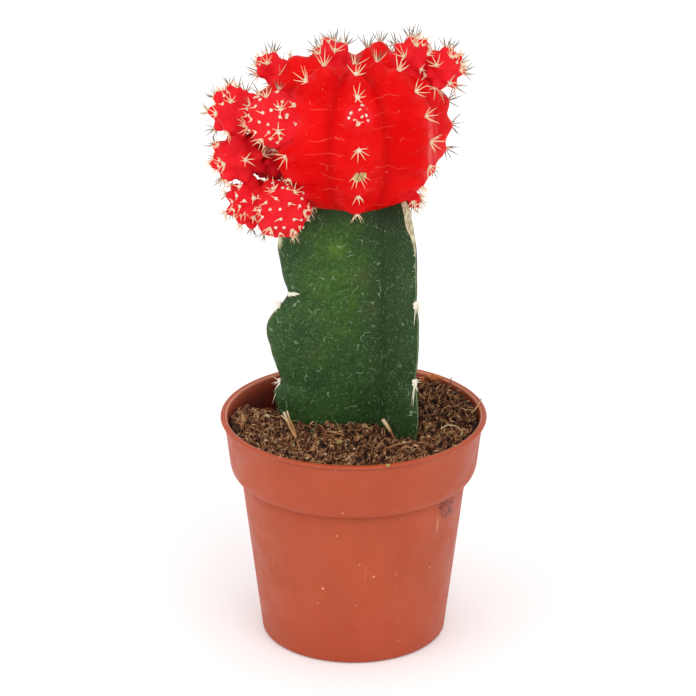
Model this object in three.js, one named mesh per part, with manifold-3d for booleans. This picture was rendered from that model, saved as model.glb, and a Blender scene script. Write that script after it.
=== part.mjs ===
// Potted moon cactus: a red ball cactus grafted on a three-winged green stock, in a nursery pot.
// Millimetres, +Z up. The origin is the centre of the pot's flat base, and -Y is the front.
import * as THREE from 'three';
import { mergeVertices } from 'three/addons/utils/BufferGeometryUtils.js';
import Module from 'manifold-3d';

const wasm = await Module();
wasm.setup();

// ---- Driving dimensions ----
const GAP = 0.3; // between pieces that touch on the real plant

const POT = {
  height: 48.3,
  lipRadius: 27.5,
  lipHeight: 1.6,
  bandTopRadius: 26.7,
  bandBottomRadius: 25.2,
  bandBottom: 38.3,
  shoulderFoot: 35.1,
  bodyRadius: 23.0,
  baseRadius: 19.2,
  edgeRadius: 0.9,
  wall: 1.0,
  floor: 1.3,
  segments: 44,
};
const DRAIN = { count: 6, radius: 1.8, circle: 13.5, sides: 12 };

const SOIL = { level: 46.0, rings: 6, segments: 38, crumb: 0.35 };
// Each heap or hollow: its centre, its height and how far it spreads.
const SOIL_HEAPS = [
  { x: -17, y: 18, rise: -5.2, spread: 9 },
  { x: -25, y: 0, rise: 1.4, spread: 7 },
  { x: 20, y: 15, rise: 2.0, spread: 9 },
  { x: 25, y: 2, rise: 1.6, spread: 7 },
  { x: 0, y: -25, rise: -0.8, spread: 10 },
  { x: 11, y: -12, rise: 0.5, spread: 4 },
  { x: -6, y: -6, rise: 0.6, spread: 6 },
];

const STOCK = {
  core: new THREE.Vector2(5.5, 4.0),
  foot: 26.0,
  top: 97.6,
  rowStep: 3.0,
  pointsPerSpan: 2,
};
// Each wing: its direction, half its thickness at the margin, near the margin and halfway, on its two sides,
// how far the valley after it stands from the core, and its reach at each height: [z, reach].
const WINGS = [
  {
    angle: -64, margin: 0.7, near: [1.5, 1.5], half: [2.6, 2.6], valleyAngle: 4, valley: 5.2,
    reach: [[26, 7.5], [34, 11.5], [46.5, 16.2], [51.6, 17.2], [56, 16.9], [59.3, 15.8], [63, 16.6],
      [72.3, 17.2], [76.4, 16.1], [79.4, 16.2], [87.4, 15.9], [93.6, 14.0], [98.4, 10.6]],
    areoles: [59.3, 76.4],
  },
  {
    angle: 74, margin: 0.9, near: [2.0, 2.0], half: [3.4, 3.4], valleyAngle: 133, valley: 6.8,
    reach: [[26, 7], [34, 10.5], [45, 14.2], [52, 15.4], [58, 15.0], [61.5, 13.8], [65, 15.0],
      [72, 15.8], [78, 15.2], [81.5, 13.8], [85, 14.4], [90, 14.0], [94, 12.4], [98.4, 9.8]],
    areoles: [61.5, 81.5],
  },
  {
    angle: 184, margin: 1.1, near: [3.0, 3.5], half: [4.8, 5.9], valleyAngle: 264, valley: 4.6,
    reach: [[26, 9], [34, 14.5], [44.6, 19.4], [48.4, 21.0], [51.5, 22.0], [53.8, 21.8], [55.6, 20.6],
      [57.6, 21.3], [62, 22.4], [66.5, 23.2], [69, 22.7], [72, 20.9], [75.2, 19.2], [77, 19.7], [84, 21.0],
      [86.5, 20.7], [89, 19.4], [93, 16.0], [98.4, 11.8]],
    areoles: [55.6, 72.6],
  },
];

// The ball's outline from its crown down, [radius, height], about an axis that leans forwards as it rises,
// and the arc from the crown to each rib's first areole.
const BALL = {
  middle: new THREE.Vector3(-0.1, 2.45, 109.4),
  lean: -0.12,
  outline: [[0, 122.8], [5, 124.1], [9.5, 124.2], [12.8, 122.9], [15.4, 120.2], [17.5, 116.5], [18.7, 112.6],
    [19.0, 108.8], [18.3, 104.8], [16.6, 101.0], [13.9, 97.4], [10.6, 94.9], [5, 93.7], [0, 93.5]],
  valleys: [-157, -106, -68, -13, 36, 88, 142, 203],
  ribDepth: 1.9,
  samplesPerRib: 6,
  rows: 22,
  areoleStarts: [8.8, 5.9, 6.5, 8.6, 6.4, 4.8, 7.2],
  areoleGap: 5.1,
  areoleCount: 8,
  bump: 1.3,
};

// Each offset: its centre and the radius of its knobs. Each one grows from the ball or from its neighbour,
// and its crown points away from the ball's middle where it isn't given. A bare one has no spines.
const OFFSETS = [
  { at: [-23.4, -3, 115.1], radius: 5.5, crown: [-0.66, -0.18, 0.73] },
  { at: [-22.7, -4, 105.2], radius: 5.5 },
  { at: [-14.6, -9, 96.6], radius: 6.2, crown: [0.1, -0.95, 0.25] },
  { at: [-21.2, -7, 97.2], radius: 4.9, crown: [-0.55, -0.82, 0.1] },
  { at: [-15.4, -8.6, 115.2], radius: 6.0, crown: [-0.54, -0.78, 0.3] },
  { at: [-18.3, -1.5, 112.8], radius: 4.6, bare: true },
  { at: [-15.8, -1.3, 103.9], radius: 4.9, crown: [-0.7, -0.6, -0.3], bare: true },
  { at: [-16.3, 4, 121.5], radius: 3.6 },
  { at: [-4.2, 4, 123.8], radius: 4.0 },
  { at: [11.6, 3, 124.2], radius: 4.4 },
  { at: [17.7, 3, 121.9], radius: 4.6 },
  { at: [0.9, -14.3, 117.6], radius: 2.4, bare: true },
  { at: [11.5, -4, 97], radius: 2.2 },
  { at: [-8, 20.5, 112], radius: 5.2 },
  { at: [12.5, 18, 117], radius: 4.4 },
  { at: [12.5, 16, 101], radius: 4.0 },
];
// How knobbly an offset is. Its areoles sit on rings evenly spaced from its crown.
const LARGE_OFFSET = { ribs: 6, areoleRings: 4 };
const SMALL_OFFSET = { ribs: 5, areoleRings: 3 };
const OFFSET = { largeFrom: 4.7, relief: 0.25, samplesPerRib: 3 };

const SPINE = {
  root: 0.22,
  apart: 0.42,
  sunk: 0.6,
  shortest: 2.2,
  longest: 3.3,
  steepest: 32, // degrees from the way that the areole faces
  flattest: 58,
  onBall: 4,
  onOffset: 3,
  onStock: 3,
};

const STRAWS = [
  { name: 'straw_left', foot: [-10.0, -11.5, 41.0], top: [-14.4, -7.6, 52.0], radius: 0.5 },
  { name: 'straw_right', foot: [10.0, -11.4, 42.0], top: [6.0, -6.0, 49.4], radius: 0.5 },
];

// ---- Helpers ----
const UP = new THREE.Vector3(0, 0, 1);
const radians = THREE.MathUtils.degToRad;

// A steady value from 0 to 1 for each number, so that every build is alike.
function chance(number) {
  const wave = Math.sin(number * 12.9898 + 4.137) * 43758.5453;
  return wave - Math.floor(wave);
}

// A smooth curve through [place, value] pairs.
function smoothThrough(pairs, place) {
  const last = pairs.length - 1;
  if (place <= pairs[0][0]) return pairs[0][1];
  if (place >= pairs[last][0]) return pairs[last][1];
  let i = 0;
  while (place > pairs[i + 1][0]) i += 1;
  const slope = (j) => {
    const before = pairs[Math.max(j - 1, 0)];
    const after = pairs[Math.min(j + 1, last)];
    return (after[1] - before[1]) / (after[0] - before[0]);
  };
  const width = pairs[i + 1][0] - pairs[i][0];
  const t = (place - pairs[i][0]) / width;
  const rise = pairs[i + 1][1] - pairs[i][1];
  const a = slope(i) * width - rise;
  const b = rise - slope(i + 1) * width;
  return pairs[i][1] + t * rise + t * (1 - t) * ((1 - t) * a + t * b);
}

// A closed skin over rings of points, each counter-clockwise from above, from the lowest ring to the highest.
function skinOver(rings) {
  const count = rings[0].length;
  const points = rings.flat();
  const triangles = [];
  for (let row = 0; row < rings.length - 1; row += 1) {
    for (let i = 0; i < count; i += 1) {
      const a = row * count + i;
      const b = row * count + (i + 1) % count;
      triangles.push(a, b, b + count, a, b + count, a + count);
    }
  }
  const closeEnd = (ring, start, flip) => {
    const middle = ring.reduce((sum, p) => sum.add(p), new THREE.Vector3()).divideScalar(count);
    points.push(middle);
    for (let i = 0; i < count; i += 1) {
      const edge = [start + i, start + (i + 1) % count];
      triangles.push(points.length - 1, flip ? edge[1] : edge[0], flip ? edge[0] : edge[1]);
    }
  };
  closeEnd(rings[0], 0, true);
  closeEnd(rings[rings.length - 1], (rings.length - 1) * count, false);
  const geometry = new THREE.BufferGeometry().setFromPoints(points);
  geometry.setIndex(triangles);
  return geometry;
}

function toSolid(geometry) {
  const bare = geometry.clone();
  bare.deleteAttribute('normal');
  bare.deleteAttribute('uv');
  const merged = mergeVertices(bare, 1e-5);
  const index = merged.index.array;
  const kept = [];
  for (let i = 0; i < index.length; i += 3) {
    const [a, b, c] = [index[i], index[i + 1], index[i + 2]];
    if (a !== b && b !== c && c !== a) kept.push(a, b, c);
  }
  return new wasm.Manifold(new wasm.Mesh({
    numProp: 3,
    vertProperties: new Float32Array(merged.attributes.position.array),
    triVerts: new Uint32Array(kept),
  }));
}

function toGeometry(solid) {
  const mesh = solid.getMesh();
  const geometry = new THREE.BufferGeometry();
  geometry.setAttribute('position', new THREE.BufferAttribute(mesh.vertProperties, 3));
  geometry.setIndex(new THREE.BufferAttribute(mesh.triVerts, 1));
  return geometry;
}

function join(solids) {
  return solids.reduce((whole, solid) => whole.add(solid));
}

// The largest body of a solid, without the scraps that a cut leaves.
function largestBody(solid) {
  return solid.decompose().reduce((best, body) => (body.volume() > best.volume() ? body : best));
}

// Two directions square to the given one and to each other.
function squareTo(along) {
  const helper = Math.abs(along.z) < 0.9 ? UP : new THREE.Vector3(1, 0, 0);
  const across = new THREE.Vector3().crossVectors(along, helper).normalize();
  return [across, new THREE.Vector3().crossVectors(along, across)];
}

// A three-sided needle from its root to its tip.
function needle(root, tip, radius) {
  const [across, other] = squareTo(tip.clone().sub(root).normalize());
  const corners = [0, 1, 2].map((i) => {
    const turn = (i * 2 * Math.PI) / 3;
    return root.clone()
      .addScaledVector(across, radius * Math.cos(turn))
      .addScaledVector(other, radius * Math.sin(turn));
  });
  const geometry = new THREE.BufferGeometry().setFromPoints([...corners, tip]);
  geometry.setIndex([0, 2, 1, 0, 1, 3, 1, 2, 3, 2, 0, 3]);
  return toSolid(geometry);
}

// A star of spines on one areole, leaning out evenly round the direction in which the areole faces.
function spinesAt(place, facing, count, seed, scale = 1) {
  const [across, other] = squareTo(facing);
  return Array.from({ length: count }, (_, i) => {
    const turn = ((i + 0.4 * chance(seed + i)) * 2 * Math.PI) / count;
    const lean = radians(THREE.MathUtils.lerp(SPINE.steepest, SPINE.flattest, chance(seed + 7.3 * i + 2)));
    const length = THREE.MathUtils.lerp(SPINE.shortest, SPINE.longest, chance(seed + 3.1 * i + 5)) * scale;
    const aside = across.clone().multiplyScalar(Math.cos(turn)).addScaledVector(other, Math.sin(turn));
    const root = place.clone().addScaledVector(aside, SPINE.apart).addScaledVector(facing, -SPINE.sunk);
    const tip = place.clone()
      .addScaledVector(aside, Math.sin(lean) * length)
      .addScaledVector(facing, Math.cos(lean) * length);
    return needle(root, tip, SPINE.root);
  });
}

// ---- Pot ----
// The rounded shoulder from the body's top out to the foot of the band, in the given number of steps.
function shoulder(inset, steps) {
  const { bodyRadius, shoulderFoot, bandBottomRadius, bandBottom } = POT;
  const swell = bandBottomRadius - bodyRadius;
  return new THREE.QuadraticBezierCurve(
    new THREE.Vector2(bodyRadius - inset, shoulderFoot),
    new THREE.Vector2(bodyRadius + 0.88 * swell - inset, shoulderFoot + 0.2 * (bandBottom - shoulderFoot)),
    new THREE.Vector2(bandBottomRadius - inset, bandBottom),
  ).getPoints(steps).map((p) => [p.x, p.y]);
}

function makePot() {
  const { height, lipRadius, lipHeight, bandTopRadius, baseRadius, edgeRadius, wall, floor, segments } = POT;
  const lipBottom = height - lipHeight;
  const outside = [
    [0, 0],
    [baseRadius - edgeRadius, 0],
    [baseRadius - edgeRadius * 0.3, edgeRadius * 0.3],
    [baseRadius, edgeRadius],
    ...shoulder(0, 3),
    [bandTopRadius - 0.8, height - 3 * lipHeight],
    [bandTopRadius, lipBottom],
    [lipRadius - 0.1, lipBottom + 0.3],
    [lipRadius, height - lipHeight * 0.4],
    [lipRadius - 0.3, height - 0.2],
    [lipRadius - 0.8, height],
  ];
  const inside = [
    [bandTopRadius - wall + 0.5, height],
    [bandTopRadius - wall, height - 0.7],
    ...shoulder(wall, 2).reverse(),
    [baseRadius - wall, floor],
    [0, floor],
  ];
  const profile = [...outside, ...inside].map(([r, z]) => new THREE.Vector2(r, z));
  const shell = toSolid(new THREE.LatheGeometry(profile, segments).rotateX(Math.PI / 2));
  const holes = Array.from({ length: DRAIN.count }, (_, i) => {
    const turn = (i * 2 * Math.PI) / DRAIN.count;
    const hole = new THREE.CylinderGeometry(DRAIN.radius, DRAIN.radius, 4 * floor, DRAIN.sides);
    hole.rotateX(Math.PI / 2);
    hole.translate(DRAIN.circle * Math.cos(turn), DRAIN.circle * Math.sin(turn), floor / 2);
    return toSolid(hole);
  });
  return shell.subtract(join(holes));
}

// ---- Stock ----
// The stock's outline at one height, grown outwards by the gap where a hole for it is wanted.
function stockRing(z, grow) {
  const { core, pointsPerSpan } = STOCK;
  const knots = [];
  WINGS.forEach((wing) => {
    const reach = smoothThrough(wing.reach, z) + grow;
    const slim = Math.min(1, reach / 14);
    const along = new THREE.Vector2(Math.cos(radians(wing.angle)), Math.sin(radians(wing.angle)));
    const left = new THREE.Vector2(-along.y, along.x);
    const knot = (share, aside) => core.clone()
      .addScaledVector(along, reach * share)
      .addScaledVector(left, aside * slim + Math.sign(aside) * grow);
    knots.push(knot(0.52, -wing.half[1]), knot(0.87, -wing.near[1]), knot(0.985, -wing.margin), knot(1, 0));
    knots.push(knot(0.985, wing.margin), knot(0.87, wing.near[0]), knot(0.52, wing.half[0]));
    const turn = radians(wing.valleyAngle);
    const valley = new THREE.Vector2(Math.cos(turn), Math.sin(turn));
    knots.push(core.clone().addScaledVector(valley, wing.valley * Math.max(slim, 0.6) + grow));
  });
  const loop = new THREE.CatmullRomCurve3(knots.map((p) => new THREE.Vector3(p.x, p.y, z)), true);
  return loop.getPoints(knots.length * pointsPerSpan).slice(0, -1);
}

function stockBody(grow) {
  const low = STOCK.foot - grow;
  const high = STOCK.top + grow;
  const rows = Math.round((high - low) / STOCK.rowStep);
  const rings = Array.from({ length: rows + 1 }, (_, i) => stockRing(low + ((high - low) * i) / rows, grow));
  return toSolid(skinOver(rings));
}

function makeStock() {
  const spines = WINGS.flatMap((wing, w) => wing.areoles.flatMap((z, i) => {
    const turn = radians(wing.angle);
    const facing = new THREE.Vector3(Math.cos(turn), Math.sin(turn), 0);
    const reach = smoothThrough(wing.reach, z);
    const place = new THREE.Vector3(STOCK.core.x, STOCK.core.y, z).addScaledVector(facing, reach - 0.1);
    return spinesAt(place, facing, SPINE.onStock, 900 + 40 * w + 11 * i, 0.7);
  }));
  return join([stockBody(0), ...spines]);
}

// ---- Ribbed bodies of the red ball and its offsets ----
// Where an azimuth lies on its rib: the rib's number, and 1 at its crest down to 0 in the valleys beside it.
function ribAt(valleys, azimuth) {
  let k = 0;
  while (k < valleys.length - 2 && azimuth >= valleys[k + 1]) k += 1;
  const share = (azimuth - valleys[k]) / (valleys[k + 1] - valleys[k]);
  return { k, crest: Math.sin(Math.PI * THREE.MathUtils.clamp(share, 0, 1)) };
}

// Where the ball's leaning axis stands at a height.
function ballAxis(z) {
  return new THREE.Vector2(BALL.middle.x, BALL.middle.y + BALL.lean * (z - BALL.middle.z));
}

function areoleArc(k, i) {
  return BALL.areoleStarts[k] + BALL.areoleGap * i;
}

const ballOutline = new THREE.SplineCurve(BALL.outline.map(([r, z]) => new THREE.Vector2(r, z)));
const ballArc = ballOutline.getLength();

function ballPoint(arc, azimuth) {
  const share = THREE.MathUtils.clamp(arc / ballArc, 0, 1);
  const at = ballOutline.getPointAt(share);
  const down = ballOutline.getTangentAt(share);
  const { k, crest } = ribAt(BALL.valleys, azimuth);
  const { smoothstep } = THREE.MathUtils;
  let rise = -BALL.ribDepth * smoothstep(ballArc - arc, 8, 32) * (1 - crest ** 1.3) * Math.min(1, at.x / 7);
  const bump = BALL.bump * smoothstep(ballArc - arc, 9, 20) * crest ** 3 * Math.min(1, at.x / 6);
  for (let i = 0; i < BALL.areoleCount; i += 1) {
    const away = (arc - areoleArc(k, i)) / (0.34 * BALL.areoleGap);
    rise += bump * Math.exp(-away * away);
  }
  const radius = at.x - rise * down.y;
  const z = at.y + rise * down.x;
  const turn = radians(azimuth);
  const axis = ballAxis(z);
  return new THREE.Vector3(axis.x + radius * Math.cos(turn), axis.y + radius * Math.sin(turn), z);
}

// The direction in which a surface faces, from its point function.
function facingOf(pointAt, arc, azimuth) {
  const place = pointAt(arc, azimuth);
  const down = pointAt(arc + 0.8, azimuth).sub(place);
  const around = pointAt(arc, azimuth + 2).sub(place);
  return down.cross(around).normalize();
}

function makeBallBody() {
  const rings = [];
  for (let row = BALL.rows; row >= 1; row -= 1) {
    const arc = (ballArc * (row - 0.5)) / BALL.rows;
    const ring = [];
    for (let k = 0; k < BALL.valleys.length - 1; k += 1) {
      for (let i = 0; i < BALL.samplesPerRib; i += 1) {
        const azimuth = THREE.MathUtils.lerp(BALL.valleys[k], BALL.valleys[k + 1], i / BALL.samplesPerRib);
        ring.push(ballPoint(arc, azimuth));
      }
    }
    rings.push(ring);
  }
  return toSolid(skinOver(rings));
}

// Turns an offset's own upright frame so that its crown points where it should.
function offsetFrame(offset) {
  const centre = new THREE.Vector3(...offset.at);
  const outwards = offset.crown ? new THREE.Vector3(...offset.crown) : centre.clone().sub(BALL.middle);
  outwards.normalize();
  return new THREE.Matrix4()
    .makeRotationFromQuaternion(new THREE.Quaternion().setFromUnitVectors(UP, outwards))
    .setPosition(centre);
}

function offsetLook(offset) {
  return offset.radius >= OFFSET.largeFrom ? LARGE_OFFSET : SMALL_OFFSET;
}

function areoleStep(offset) {
  return 180 / offsetLook(offset).areoleRings;
}

function offsetPoint(offset, polar, azimuth) {
  const low = radians(polar);
  const turn = radians(azimuth);
  const crest = 1 - 0.5 * (1 - Math.cos(turn * offsetLook(offset).ribs)) * Math.sin(low);
  const knob = 0.5 + 0.5 * Math.cos((2 * Math.PI * polar) / areoleStep(offset));
  const radius = offset.radius * (1 - OFFSET.relief * (1 - crest * (0.35 + 0.65 * knob)));
  return new THREE.Vector3(Math.sin(low) * Math.cos(turn), Math.sin(low) * Math.sin(turn), Math.cos(low))
    .multiplyScalar(radius);
}

function makeOffsetBody(offset) {
  const around = offsetLook(offset).ribs * OFFSET.samplesPerRib;
  const rings = [];
  for (let row = 2 * offsetLook(offset).areoleRings - 1; row >= 1; row -= 1) {
    const polar = (areoleStep(offset) * row) / 2;
    rings.push(Array.from({ length: around }, (_, i) => offsetPoint(offset, polar, (360 * i) / around)));
  }
  return toSolid(skinOver(rings).applyMatrix4(offsetFrame(offset)));
}

function ballRadiusAt(z) {
  const flank = BALL.outline.slice(2, -2).map(([r, height]) => [height, r]).reverse();
  return smoothThrough(flank, z);
}

function insideOffset(place, self) {
  return OFFSETS.some((other) => (
    other !== self && place.distanceTo(new THREE.Vector3(...other.at)) < other.radius * 0.95
  ));
}

function insideBall(place) {
  const flat = new THREE.Vector2(place.x, place.y).distanceTo(ballAxis(place.z));
  const low = BALL.outline[BALL.outline.length - 2][1];
  const high = BALL.outline[2][1];
  return place.z > low && place.z < high && flat < ballRadiusAt(place.z) - 0.3;
}

function ballSpines() {
  const spines = [];
  for (let k = 0; k < BALL.valleys.length - 1; k += 1) {
    const azimuth = (BALL.valleys[k] + BALL.valleys[k + 1]) / 2;
    for (let i = 0; i < BALL.areoleCount; i += 1) {
      const arc = areoleArc(k, i);
      const place = ballPoint(arc, azimuth);
      if (!insideOffset(place, null)) {
        spines.push(...spinesAt(place, facingOf(ballPoint, arc, azimuth), SPINE.onBall, 100 * k + 9 * i));
      }
    }
  }
  return spines;
}

function offsetSpines(offset, number) {
  const frame = offsetFrame(offset);
  const centre = new THREE.Vector3(...offset.at);
  const { ribs, areoleRings } = offsetLook(offset);
  const spines = [];
  for (let row = 0; row < (offset.bare ? 0 : areoleRings); row += 1) {
    for (let k = 0; k < (row === 0 ? 1 : ribs); k += 1) {
      const place = offsetPoint(offset, areoleStep(offset) * row, (360 * k) / ribs).applyMatrix4(frame);
      const facing = place.clone().sub(centre).normalize();
      const skipped = row > 1 && (k + row) % 2 === 0;
      if (!skipped && !insideOffset(place, offset) && !insideBall(place)) {
        spines.push(...spinesAt(place, facing, SPINE.onOffset, 2000 + 70 * number + 13 * row + k, 0.85));
      }
    }
  }
  return spines;
}

function makeScion() {
  const bodies = [makeBallBody(), ...OFFSETS.map(makeOffsetBody)];
  const spines = [...ballSpines(), ...OFFSETS.flatMap(offsetSpines)];
  return largestBody(join([join(bodies), join(spines)]).subtract(stockBody(GAP)));
}

// ---- Straws ----
function strawBody(straw, grow) {
  const foot = new THREE.Vector3(...straw.foot);
  const top = new THREE.Vector3(...straw.top);
  const along = top.clone().sub(foot);
  const stretch = along.length() + 2 * grow;
  const upright = new THREE.Vector3(0, 1, 0);
  const shape = new THREE.CylinderGeometry(straw.radius + grow, straw.radius * 0.8 + grow, stretch, 6);
  shape.applyQuaternion(new THREE.Quaternion().setFromUnitVectors(upright, along.normalize()));
  const middle = foot.add(top).divideScalar(2);
  return toSolid(shape.translate(middle.x, middle.y, middle.z));
}

// ---- Soil ----
function soilHeight(x, y) {
  let z = SOIL.level;
  SOIL_HEAPS.forEach((heap) => {
    const away = Math.hypot(x - heap.x, y - heap.y) / heap.spread;
    z += heap.rise * Math.exp(-away * away);
  });
  z += SOIL.crumb * (Math.sin(1.9 * x + 0.7 * y) + Math.sin(2.3 * y - 1.1 * x + 2) + Math.sin(1.3 * (x + y)));
  return Math.min(z, POT.height - 0.5);
}

// The pot's inner radius above its shoulder.
function wallRadius(z) {
  const share = (z - POT.bandBottom) / (POT.height - 0.7 - POT.bandBottom);
  return THREE.MathUtils.lerp(POT.bandBottomRadius, POT.bandTopRadius, share) - POT.wall;
}

function makeSoil(stock) {
  const { segments, rings: topRings } = SOIL;
  const ringAt = (radius, z) => Array.from({ length: segments }, (_, i) => {
    const turn = (i * 2 * Math.PI) / segments;
    return new THREE.Vector3(radius * Math.cos(turn), radius * Math.sin(turn), z);
  });
  const rings = [
    ringAt(POT.baseRadius - POT.wall - GAP, POT.floor + GAP),
    ...shoulder(POT.wall + GAP, 1).map(([radius, z]) => ringAt(radius, z)),
  ];
  for (let i = 0; i <= topRings; i += 1) {
    const share = 1 - i / (topRings + 0.5);
    rings.push(ringAt(1, 0).map((spoke) => {
      const edge = soilHeight(24.5 * spoke.x, 24.5 * spoke.y);
      const radius = (wallRadius(edge) - GAP) * share;
      const z = soilHeight(radius * spoke.x, radius * spoke.y);
      return new THREE.Vector3(radius * spoke.x, radius * spoke.y, i === 0 ? edge : z);
    }));
  }
  return [stock, ...STRAWS.map((straw) => strawBody(straw, GAP))]
    .reduce((solid, hole) => solid.subtract(hole), toSolid(skinOver(rings)));
}

// ---- Assembly ----
function material(color, roughness) {
  return new THREE.MeshStandardMaterial({ color, roughness, metalness: 0 });
}

function named(name, solid, finish) {
  const mesh = new THREE.Mesh(toGeometry(solid), finish);
  mesh.name = name;
  return mesh;
}

const cactus = new THREE.Group();
cactus.add(named('pot', makePot(), material(0xc05d40, 0.5)));
cactus.add(named('soil', largestBody(makeSoil(stockBody(GAP))), material(0x4a2c1c, 0.95)));
cactus.add(named('rootstock', makeStock(), material(0x2d4b28, 0.5)));
cactus.add(named('scion', makeScion(), material(0xe10a0c, 0.45)));
STRAWS.forEach((straw) => {
  cactus.add(named(straw.name, strawBody(straw, 0), material(0xb08a55, 0.8)));
});

export default cactus;
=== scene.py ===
# Finishes and fine pieces of the potted moon cactus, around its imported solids.
# Metres in the scene; the shapes are worked out in millimetres. +Z is up and -Y is the front.
import math

import bmesh
import bpy
import numpy as np
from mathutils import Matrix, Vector


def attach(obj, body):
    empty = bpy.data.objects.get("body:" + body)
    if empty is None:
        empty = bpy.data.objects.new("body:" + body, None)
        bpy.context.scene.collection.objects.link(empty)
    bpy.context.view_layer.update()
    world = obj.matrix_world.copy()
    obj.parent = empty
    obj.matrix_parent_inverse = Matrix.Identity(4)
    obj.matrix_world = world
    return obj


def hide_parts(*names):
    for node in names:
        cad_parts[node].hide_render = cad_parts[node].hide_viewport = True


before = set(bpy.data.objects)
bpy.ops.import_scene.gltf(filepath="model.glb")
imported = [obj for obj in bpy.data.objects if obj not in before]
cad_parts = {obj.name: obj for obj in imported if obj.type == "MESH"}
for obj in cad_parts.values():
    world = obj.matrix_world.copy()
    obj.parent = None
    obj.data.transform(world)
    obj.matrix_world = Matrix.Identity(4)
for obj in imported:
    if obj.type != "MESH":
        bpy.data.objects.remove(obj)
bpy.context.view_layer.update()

MM = 0.001

# ---- The plant's and the pot's own sizes, in millimetres ----
POT = {
    "height": 48.3, "lip_radius": 27.5, "bead": (0.66, 0.42), "band_top": 26.85, "band_middle": (26.25, 43.5),
    "band_bottom": 25.65, "band_foot": 38.3, "shoulder_foot": 35.1, "body": 23.35, "base": 19.2,
    "edge": 0.9, "wall": 1.0, "floor": 1.3, "groove": 0.12, "segments": 200,
    "band_rise": [(26.55, 45.6), (26.8, 46.8), (26.88, 47.4)], "bore": [(25.6, 45.4), (25.2, 42.0)],
}
DRAIN = {"count": 6, "radius": 1.8, "circle": 13.5}
SOIL_LEVEL = 46.0
SOIL_CRUMB = 0.35
CRUMBS, FIBRES = 3400, 3600
CRUMB = {"least": 0.17, "spread": 0.17, "most": 0.75, "pale_most": 0.4, "fine_from": 0.5}
PALE_FROM = 0.982  # a crumb is pale when its draw from 0 to 1 is above this
FIBRE = {"length": (1.2, 4.6), "radius": (0.06, 0.14), "curl": 3.0, "steps": 7}
# Each heap or hollow: x, y, rise and spread.
SOIL_HEAPS = [
    (-17, 18, -5.2, 9), (-25, 0, 1.4, 7), (20, 15, 2.0, 9), (25, 2, 1.6, 7), (0, -25, -0.8, 10),
    (11, -12, 0.5, 4), (-6, -6, 0.6, 6),
]
STOCK_CORE = np.array([5.5, 4.0])
STOCK_FOOT, STOCK_TOP = 26.0, 97.6
WING_KNOTS = 8  # the stock's outline has this many to a wing, the tip at the fourth and a valley at the last
TIP_KNOTS = (3, 11, 19)
# Each wing: its reach is pairs of height and reach. Its half thicknesses further in are "near" and "half".
WINGS = [
    {"angle": -64.4, "margin": 0.4, "near": (1.1, 1.5), "half": (2.3, 2.6), "valley_angle": 4, "valley": 5.2,
     "reach": [(26, 7.5), (34, 11.5), (46.5, 16.2), (51.6, 17.2), (56, 16.9), (59.3, 15.8), (63, 16.6),
               (72.3, 17.2), (76.4, 16.1), (79.4, 16.2), (87.4, 15.9), (93.6, 13.4), (98.4, 9.8)],
     "areoles": (59.3, 76.4)},
    {"angle": 74, "margin": 0.9, "near": (2.0, 2.0), "half": (3.4, 3.4), "valley_angle": 133, "valley": 6.8,
     "reach": [(26, 7), (34, 10.5), (45, 14.2), (52, 15.4), (58, 15.0), (61.5, 13.8), (65, 15.0),
               (72, 15.8), (78, 15.2), (81.5, 13.8), (85, 14.4), (90, 14.0), (94, 12.4), (98.4, 9.8)],
     "areoles": (61.5, 81.5)},
    {"angle": 184, "margin": 1.1, "near": (3.0, 3.5), "half": (4.8, 5.9), "valley_angle": 255, "valley": 5.6,
     "reach": [(26, 9), (34, 14.5), (44.6, 19.9), (48.4, 21.5), (51.0, 22.0), (52.6, 21.8), (54.3, 20.7),
               (56.3, 21.2), (58.9, 22.3), (62, 23.0), (66, 23.5), (68.2, 22.9), (70.9, 20.8), (73.8, 19.1),
               (76.2, 19.7), (82.8, 21.1), (85.6, 20.8), (89, 19.2), (93, 16.0), (98.4, 11.8)],
     "areoles": (54.1, 71.2)},
]
BALL_MIDDLE, BALL_LEAN = np.array([-0.1, 2.45, 109.4]), -0.12
BALL_OUTLINE = [
    (0, 122.8), (5, 124.1), (9.5, 124.2), (12.8, 122.9), (15.4, 120.2), (17.5, 116.5), (18.7, 112.6),
    (19.0, 108.8), (18.3, 104.8), (16.6, 101.0), (13.9, 97.4), (10.6, 94.9), (5, 93.7), (0, 93.5),
]
BALL_VALLEYS = np.array([-157, -106, -68, -13, 36, 88, 142, 203])
RIB_DEPTH, BALL_BUMP = 1.9, 1.3
CHIN_DROP, CHIN_AZIMUTH = 1.3, -87
AREOLE_STARTS, AREOLE_GAP, AREOLE_COUNT = np.array([8.8, 5.9, 6.5, 8.6, 6.4, 4.8, 7.2]), 5.1, 8
# Each offset: its centre, its radius and, where it isn't straight out from the ball, its crown's direction.
OFFSETS = [
    ((-23.4, -3, 114.8), 5.7, (-0.66, -0.18, 0.73)),
    ((-22.8, -4, 105.6), 5.9, None),
    ((-14.6, -9, 96.6), 6.2, (0.1, -0.95, 0.25)),
    ((-20.5, -7, 97.2), 5.6, (-0.55, -0.82, 0.1)),
    ((-15.4, -8.6, 115.2), 6.0, (-0.54, -0.78, 0.3)),
    ((-18.3, -1.5, 112.8), 4.6, None),
    ((-15.8, -1.3, 103.9), 4.9, (-0.7, -0.6, -0.3)),
    ((-16.3, 4, 121.5), 3.6, None),
    ((-4.2, 4, 123.8), 4.0, None),
    ((11.6, 3, 124.2), 4.4, None),
    ((17.7, 3, 121.9), 4.6, None),
    ((0.9, -14.3, 117.6), 2.4, None),
    ((11.5, -4, 97), 2.2, None),
    ((-8, 20.5, 112), 5.2, None),
    ((12.5, 18, 117), 4.4, None),
    ((12.5, 16, 101), 4.0, None),
]
OFFSET_RELIEF, DOTTED_RELIEF, LARGE_OFFSET = 0.31, 0.12, 4.3
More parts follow.
